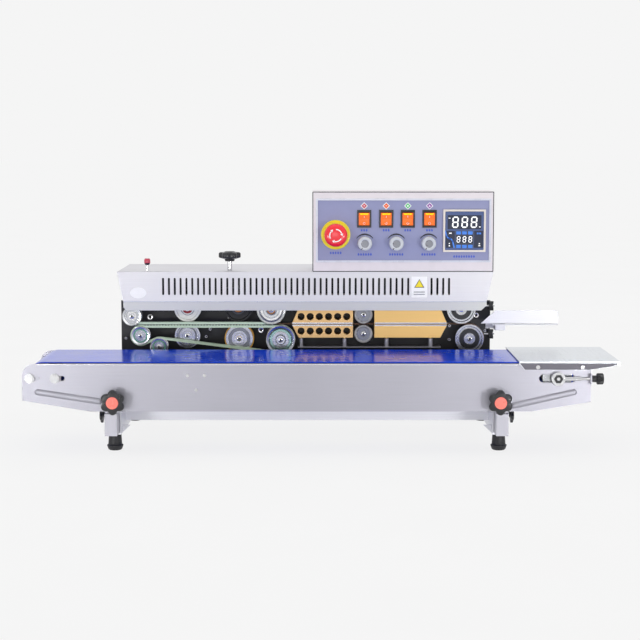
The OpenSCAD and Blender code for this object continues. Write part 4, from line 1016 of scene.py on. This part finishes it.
def wheel_face(node, screw_r, sunk, rings):
    """rings: [(inner, outer, offset of the face from the wheel's front, thickness, material)]."""
    front_y = span(node)[0][1]
    x, _, z = axis_point(f"{node}_spin")
    mesh_data = bmesh.new()
    names = [ZINC, "print_black"]
    for inner, outer, offset, thick, material in rings:
        if material not in names:
            names.append(material)
        step = min(0.35, thick / 2)
        outline = [(inner, thick), (inner, step), (inner + step, 0), (outer - step, 0), (outer, step),
                   (outer, thick), (inner, thick)]
        add_turned(mesh_data, (x, front_y + offset, z), (0, 1, 0),
                   [(*point, names.index(material)) for point in outline], 72)
    # the socket's floor and walls are painted dark as the shade in the recess
    add_turned(mesh_data, (x, front_y + sunk, z), (0, 1, 0),
               [(0, -0.6, 1), (screw_r * 0.48, -0.6, 1), (screw_r * 0.48, -1.9, 0), (screw_r * 0.8, -1.9, 0),
                (screw_r, -1.3, 0), (screw_r, 1.5, 0)], 36)
    place_piece(f"{node}_face", mesh_data, names, node, "turned_aluminium", smooth_deg=40)


FACES = {
    "upper_guide_pulley": (4.2, 0.6, (9.4, 12.6, 0.9, 1.2, TURNED), (5.2, 7.6, 0.2, 2, ZINC)),
    "lower_guide_pulley": (4.2, 0.6, (9.8, 12.2, 0.4, 1.5, "urethane_green"), (5, 8, 0.6, 1.6, TURNED)),
    "lower_idler": (4.2, 0.6, (9.0, 11.6, 0.4, 1.5, "urethane_green"), (5, 7.6, 0.6, 1.6, TURNED)),
    "anvil_wheel": (4.4, 0, (14.2, 16.4, 2.9, 2.6, GREY), (8.2, 13.8, 1.5, 1, TURNED)),
    "print_wheel": (3.6, 0, (4.6, 8.8, 1.2, 1.5, "acetal_red"), (11, 12.2, 4.6, 1, GREY)),
    "rubber_wheel": (4.2, -0.4, (18.6, 23.6, 1.2, 3, TURNED), (13.6, 18.6, 1.6, 2, GREY),
                     (8.4, 13.6, 1.4, 1, TURNED), (4.6, 8.6, -0.4, 1.2, ZINC)),
    "emboss_wheel": (4.4, 0, (9.2, 12.4, 1.5, 1, "motor_paint_grey"), (5, 8.6, -0.4, 1, "bronze_hub")),
    # the lower drive wheel's outer web carries a painted green reflection
    "lower_drive_wheel": (4.2, 1.6, (14.5, 18.4, 3.4, 1.6, "aluminium_painted_green_reflection"),
                          (9.4, 13.6, 4.1, 1.6, TURNED), (4.8, 7.2, 0.6, 1, ZINC)),
    "upper_drive_wheel": (4.2, 1.6, (14.5, 18.4, 3.4, 1.6, ZINC), (9.4, 13.6, 4.1, 1.6, TURNED),
                          (4.8, 7.2, 0.6, 1, "bronze_hub")),
    "lower_band_idler upper_band_idler": (4.2, 0, (9.8, 17.6, 1.4, 3, "abs_black"), (5, 9, 0.9, 1.6, ZINC)),
    "upper_press_roller lower_press_roller": (3.8, 0.3, (4.6, 11.6, 0.2, 1, GREY)),
}
faced = 0
for nodes, (screw_radius, sunk, *rings) in FACES.items():
    for node in nodes.split():
        wheel_face(node, screw_radius, sunk, rings)
        faced += 1
print("wheel faces made:", faced)

# %% [markdown]
# ## Sealing edges of the blocks
# The brass blocks end in ground edges where the sealing bands run, and the edges catch the
# light as two thin bright lines, which are laid on as pale strips of painted highlight. Each
# strip rides with its own block, because the lower blocks sink on their springs. The front
# panel's cut edge gets a strip of painted highlight in the same way.

# %% Strips of painted highlight


def painted_highlight_strip(name, left, right, z, height, radius, front_y, body, slot_name):
    """A thin strip of painted highlight that stands just proud of a face."""
    strip = bmesh.new()
    add_prism(strip, rounded_box((left + right) / 2, z, right - left, height, radius, 3),
              front_y - 0.2, front_y + 0.3, rim=0.1)
    place_piece(name, strip, ["painted_highlight_metal"], body, slot_name)


# pale strips of painted highlight on the blocks' sealing edges
for node in ("upper_cooling_block", "upper_heating_block", "lower_cooling_block", "lower_heating_block"):
    low, high = span(node)
    upper = node.startswith("upper")
    painted_highlight_strip(f"{node}_edge", low[0] + 0.6, high[0] - 0.6, low[2] + 1.2 if upper else high[2] - 1.2,
                 2.2, 0.4, low[1], "machine_frame" if upper else node, "silver_plastic")
low, high = span("conveyor_front_panel")
# a pale strip of painted highlight along the front panel's top edge
painted_highlight_strip("panel_edge_painted_highlight", low[0] + 24, tray_left - 1, high[2] - 0.8, 1.4, 0.5, PANEL_FRONT_Y, "conveyor",
             "brushed_steel")
print("ground strips: 4, and the panel's cut edge")

# %% [markdown]
# ## Print lever
# The print unit's lever is a thin plated stem with a red moulded tip. The tip is a cap over
# the CAD part's own tip, so the plated stem shows beneath it.

# %% Lever tip
low, high = span("print_slider")
tip_z = high[2] - 11
tip = bmesh.new()
add_turned(tip, ((low[0] + high[0]) / 2, low[1] + 5, tip_z), (0, 0, 1),
           [(0, -0.4, 1), (3.3, -0.4, 1), (5.3, 2.8), (5.3, 8.1), (4.4, 10.2), (3.4, 10.9), (0, 10.95)], 40)
place_piece("lever_tip", tip, ["slider_red", "abs_black"], "print_slider", "red_plastic")
print("lever tip seated at", round(tip_z, 1), "mm")

# %% [markdown]
# ## Standoffs, lugs and pins of the mounting plate
# Plated socket screws hold the works to the plate, and two black lugs at its right edge carry
# the pins that tension the sealing bands. One CAD node stands for all of them, so this piece
# replaces it and gives each its own finish.

# %% Plate hardware
PLATE_Y = 68.5
PLATE_SCREWS = [(-296.8, 197.6, 5, 7), (-104.2, 175.2, 5, 8), (270.4, 200.6, 4.5, 6), (-193, 176, 2.6, 2.5),
                (-200, 163, 2.6, 2.5), (-340, 160, 2.2, 2), (224.3, 182, 2.6, 2.5), (223.8, 158, 2.6, 2.5),
                (286, 173, 2.6, 2.5), (-160, 196, 2.6, 2.5)]
hardware = bmesh.new()
for x, z, radius, length in PLATE_SCREWS:
    # each socket's walls and floor are painted dark as the shade in the recess
    add_turned(hardware, (x, PLATE_Y + 0.2, z), (0, -1, 0),
               [(0, 0), (radius, 0), (radius, length - 0.4), (radius - 0.5, length), (radius * 0.55, length),
                (radius * 0.5, length - 0.1, 2), (radius * 0.5, length - 1.6, 2), (0, length - 1.6, 2)], 24)
for z in (168, 217):
    add_bar(hardware, (284, PLATE_Y - 4, z), (302, PLATE_Y - 4, z), 1.6)
    add_prism(hardware, [(292.2, z - 8), (300.2, z - 8), (300.2, z - 3), (298.6, z + 1), (300.2, z + 5),
                         (300.2, z + 8), (292.2, z + 8)], PLATE_Y - 8, PLATE_Y, 1, 0.6)
place_piece("plate_hardware", hardware, ["zinc_plated", "powder_coat_black", "print_black"], "machine_frame",
            "plated_steel", "plate_fasteners")
print("plate hardware:", len(PLATE_SCREWS), "screws and 2 lugs")

# %% [markdown]
# ## Folds and belt gap shade
# The cover's front is folded at its crease with an inside radius, and that fold shows as one
# bright line. The guide belts are toothed inside and meet in the narrow gap on the sealing
# line, where the shade between tooth and tooth is painted as a row of small dark blocks.

# %% Crease line and painted gap shade
CREASE_LEFT, CREASE_RIGHT, CREASE_Z = -337.2, 282.9, 229
fold = bmesh.new()
add_bar(fold, (CREASE_LEFT, COVER_Y + 1.05, CREASE_Z), (CREASE_RIGHT, COVER_Y + 1.05, CREASE_Z), 1.2)
place_piece("cover_crease", fold, ["stainless_tray"], "machine_frame", "brushed_steel")

low, high = span("guide_belts")
SHADED_GAPS, TOOTH_PITCH, FIRST_GAP_X, SEALING_Z = 41, 5.08, -302, 188
gap_shade = bmesh.new()
# dark blocks of painted shade in the gaps of the toothed guide belts
for k in range(SHADED_GAPS):
    add_prism(gap_shade, rounded_box(FIRST_GAP_X + k * TOOTH_PITCH, SEALING_Z, 2.3, 1.3, 0.4, 3),
              low[1] + 0.15, high[1] - 0.3)
place_piece("guide_belt_gap_shade", gap_shade, ["rubber_black"], "machine_frame", "guide_belt")
print("teeth made:", SHADED_GAPS, "at", TOOTH_PITCH, "mm")

# %% [markdown]
# ## Screws and sockets on the housing
# Cross-head screws close the rear housing. A pan head is a low dome with a cross cut into it;
# at this size the cross is not cut but laid on as a dark inlay of painted shade. The mains socket
# and the cable bush are black plastic in the steel.

# %% Housing screws
low, high = span("rear_housing")
BACK_Y, HEAD_R = 198, 3.4
screws = bmesh.new()
for x in (low[0] + 9, -26, high[0] - 9):
    for z in (low[2] + 9, high[2] - 9):
        add_turned(screws, (x, BACK_Y, z), (0, 1, 0),
                   [(0, -0.5), (HEAD_R, -0.5), (HEAD_R, 0.5), (HEAD_R * 0.85, 1.3), (HEAD_R * 0.45, 1.75),
                    (0, 1.85)], 32)
        # the dark cross stands for the painted shade in the cut
        for turn in (45, 135):
            dx, dz = (HEAD_R * 0.62 * part(math.radians(turn)) for part in (math.cos, math.sin))
            add_prism(screws, capsule((x - dx, z - dz), (x + dx, z + dz), 0.8, 4),
                      BACK_Y + 1.2, BACK_Y + 1.9, 1)
place_piece("housing_screws", screws, ["zinc_plated", "print_black"], "machine_frame", "plated_steel")

# %% Mains socket and cable bush
SOCKET_X, SOCKET_Z, BUSH_X = -200, 96, -120
sockets = bmesh.new()
add_loop(sockets, frame_outline((SOCKET_X - 25, SOCKET_X + 25), (SOCKET_Z - 15, SOCKET_Z + 15), 0, 3),
         frame_outline((SOCKET_X - 16.5, SOCKET_X + 16.5), (SOCKET_Z - 8.5, SOCKET_Z + 8.5), 0, 1.5),
         197.9, 200.5)
add_prism(sockets, rounded_box(SOCKET_X, SOCKET_Z, 33, 17, 1.5), 198.1, 199.2)
for x_off, z_off in ((-8, -2), (0, 2.6), (8, -2)):
    add_prism(sockets, rounded_box(SOCKET_X + x_off, SOCKET_Z + z_off, 2.2, 6, 0.5, 3), 199.1, 200.3, 1)
add_turned(sockets, (BUSH_X, 197.8, SOCKET_Z), (0, 1, 0),
           [(5, 0), (13, 0), (13, 1.6), (12.2, 2.4), (11, 2.7), (5.4, 2.7), (4.9, 2.2), (5, 0)], 48)
place_piece("mains_socket", sockets, ["abs_black", "brass_milled"], "machine_frame", "black_plastic")
print("screws, socket and bush made")

# %% [markdown]
# ## Studio
# A plain pale sweep that glows softly and takes no shadow, a broad light above and one behind,
# a low softbox to each side, a small one in front, and a bright surround, which is what
# brushed steel needs: it shows what it reflects.

# %% Floor
SWEEP = 60.0
floor_mesh = bmesh.new()
floor_mesh.faces.new([floor_mesh.verts.new((x * SWEEP, y * SWEEP, 0))
                      for x, y in ((-1, -1), (1, -1), (1, 1), (-1, 1))])
mesh = bpy.data.meshes.new("floor")
floor_mesh.to_mesh(mesh)
floor_mesh.free()
floor = bpy.data.objects.new("floor", mesh)
bpy.context.scene.collection.objects.link(floor)
tree, shader, place = new_material("studio_floor_pale", {
    "Roughness": 0.7, "Specular IOR Level": 0.0, "Emission Color": paint("#F5F5F5"), "Emission Strength": 0.9})
tint = ramp(tree, noise(tree, place, 200), (0.2, paint("#565656")), (0.8, paint("#5A5A5A")))
tree.links.new(tint.outputs["Color"], shader.inputs["Base Color"])
mesh.materials.append(MATERIALS["studio_floor_pale"])
print("floor laid:", round(2 * SWEEP), "m wide")

# %% Lights
CENTRE = (0, 0, 0.2)


def softbox(name, place_at, aim, size, power, spread_deg=180):
    """An area light that looks at a point."""
    lamp = bpy.data.lights.new(name, "AREA")
    lamp.shape, lamp.size, lamp.size_y = "RECTANGLE", size[0], size[1]
    lamp.energy, lamp.spread = power, math.radians(spread_deg)
    item = bpy.data.objects.new(name, lamp)
    bpy.context.scene.collection.objects.link(item)
    item.location = place_at
    item.rotation_euler = (Vector(aim) - Vector(place_at)).to_track_quat("-Z", "Y").to_euler()


softbox("top_softbox", (0, -0.4, 2.2), CENTRE, (2.6, 1.8), 3)
softbox("left_softbox", (-1.05, -1.5, 0.06), (-0.5, 0, 0.1), (0.5, 0.1), 0.85, 70)
softbox("right_softbox", (1.05, -1.5, 0.06), (0.52, 0, 0.1), (0.5, 0.1), 1.2, 70)
softbox("front_softbox", (-0.05, -3.3, 0.3), (-0.05, 0, 0.25), (0.7, 0.5), 0.3, 60)
softbox("rear_softbox", (0.3, 2.2, 1.4), CENTRE, (2.2, 1.2), 2)

world = bpy.data.worlds.new("studio_surround")
bpy.context.scene.world = world
world.use_nodes = True
sky = world.node_tree
heading = add(sky, "ShaderNodeTexCoord")
parts = add(sky, "ShaderNodeSeparateXYZ", None, {"Vector": (heading, "Generated")})
remap = add(sky, "ShaderNodeMapRange", {"From Min": -1.0, "From Max": 1.0}, {"Value": (parts, "Y")})
PALE = paint("#F5F5F5")
glow = add(sky, "ShaderNodeValToRGB",
           {"stops": [(0.0, grey(0.74)), (0.22, grey(0.86)), (0.4, grey(1.0)), (0.56, grey(1.0)), (0.66, PALE),
                      (1.0, PALE)]}, {"Fac": (remap, "Result")})
sky.links.new(glow.outputs["Color"], sky.nodes["Background"].inputs["Color"])
bpy.context.scene.view_settings.view_transform = "Standard"
print("studio lit: 5 softboxes and a pale surround")

# %% Camera
CAMERA_AT = (-0.0015, -2.6715, 0.490)
PITCH_DEG, LENS_MM, SENSOR_MM = 6.213, 88.875, 36
camera_data = bpy.data.cameras.new("front_camera")
camera_data.lens, camera_data.sensor_width = LENS_MM, SENSOR_MM
camera = bpy.data.objects.new("front_camera", camera_data)
bpy.context.scene.collection.objects.link(camera)
camera.location = CAMERA_AT
camera.rotation_euler = (math.radians(90 - PITCH_DEG), 0, 0)
bpy.context.scene.camera = camera
print("camera", LENS_MM, "mm, tilted down", PITCH_DEG, "degrees")

# %% End
print("scene built")
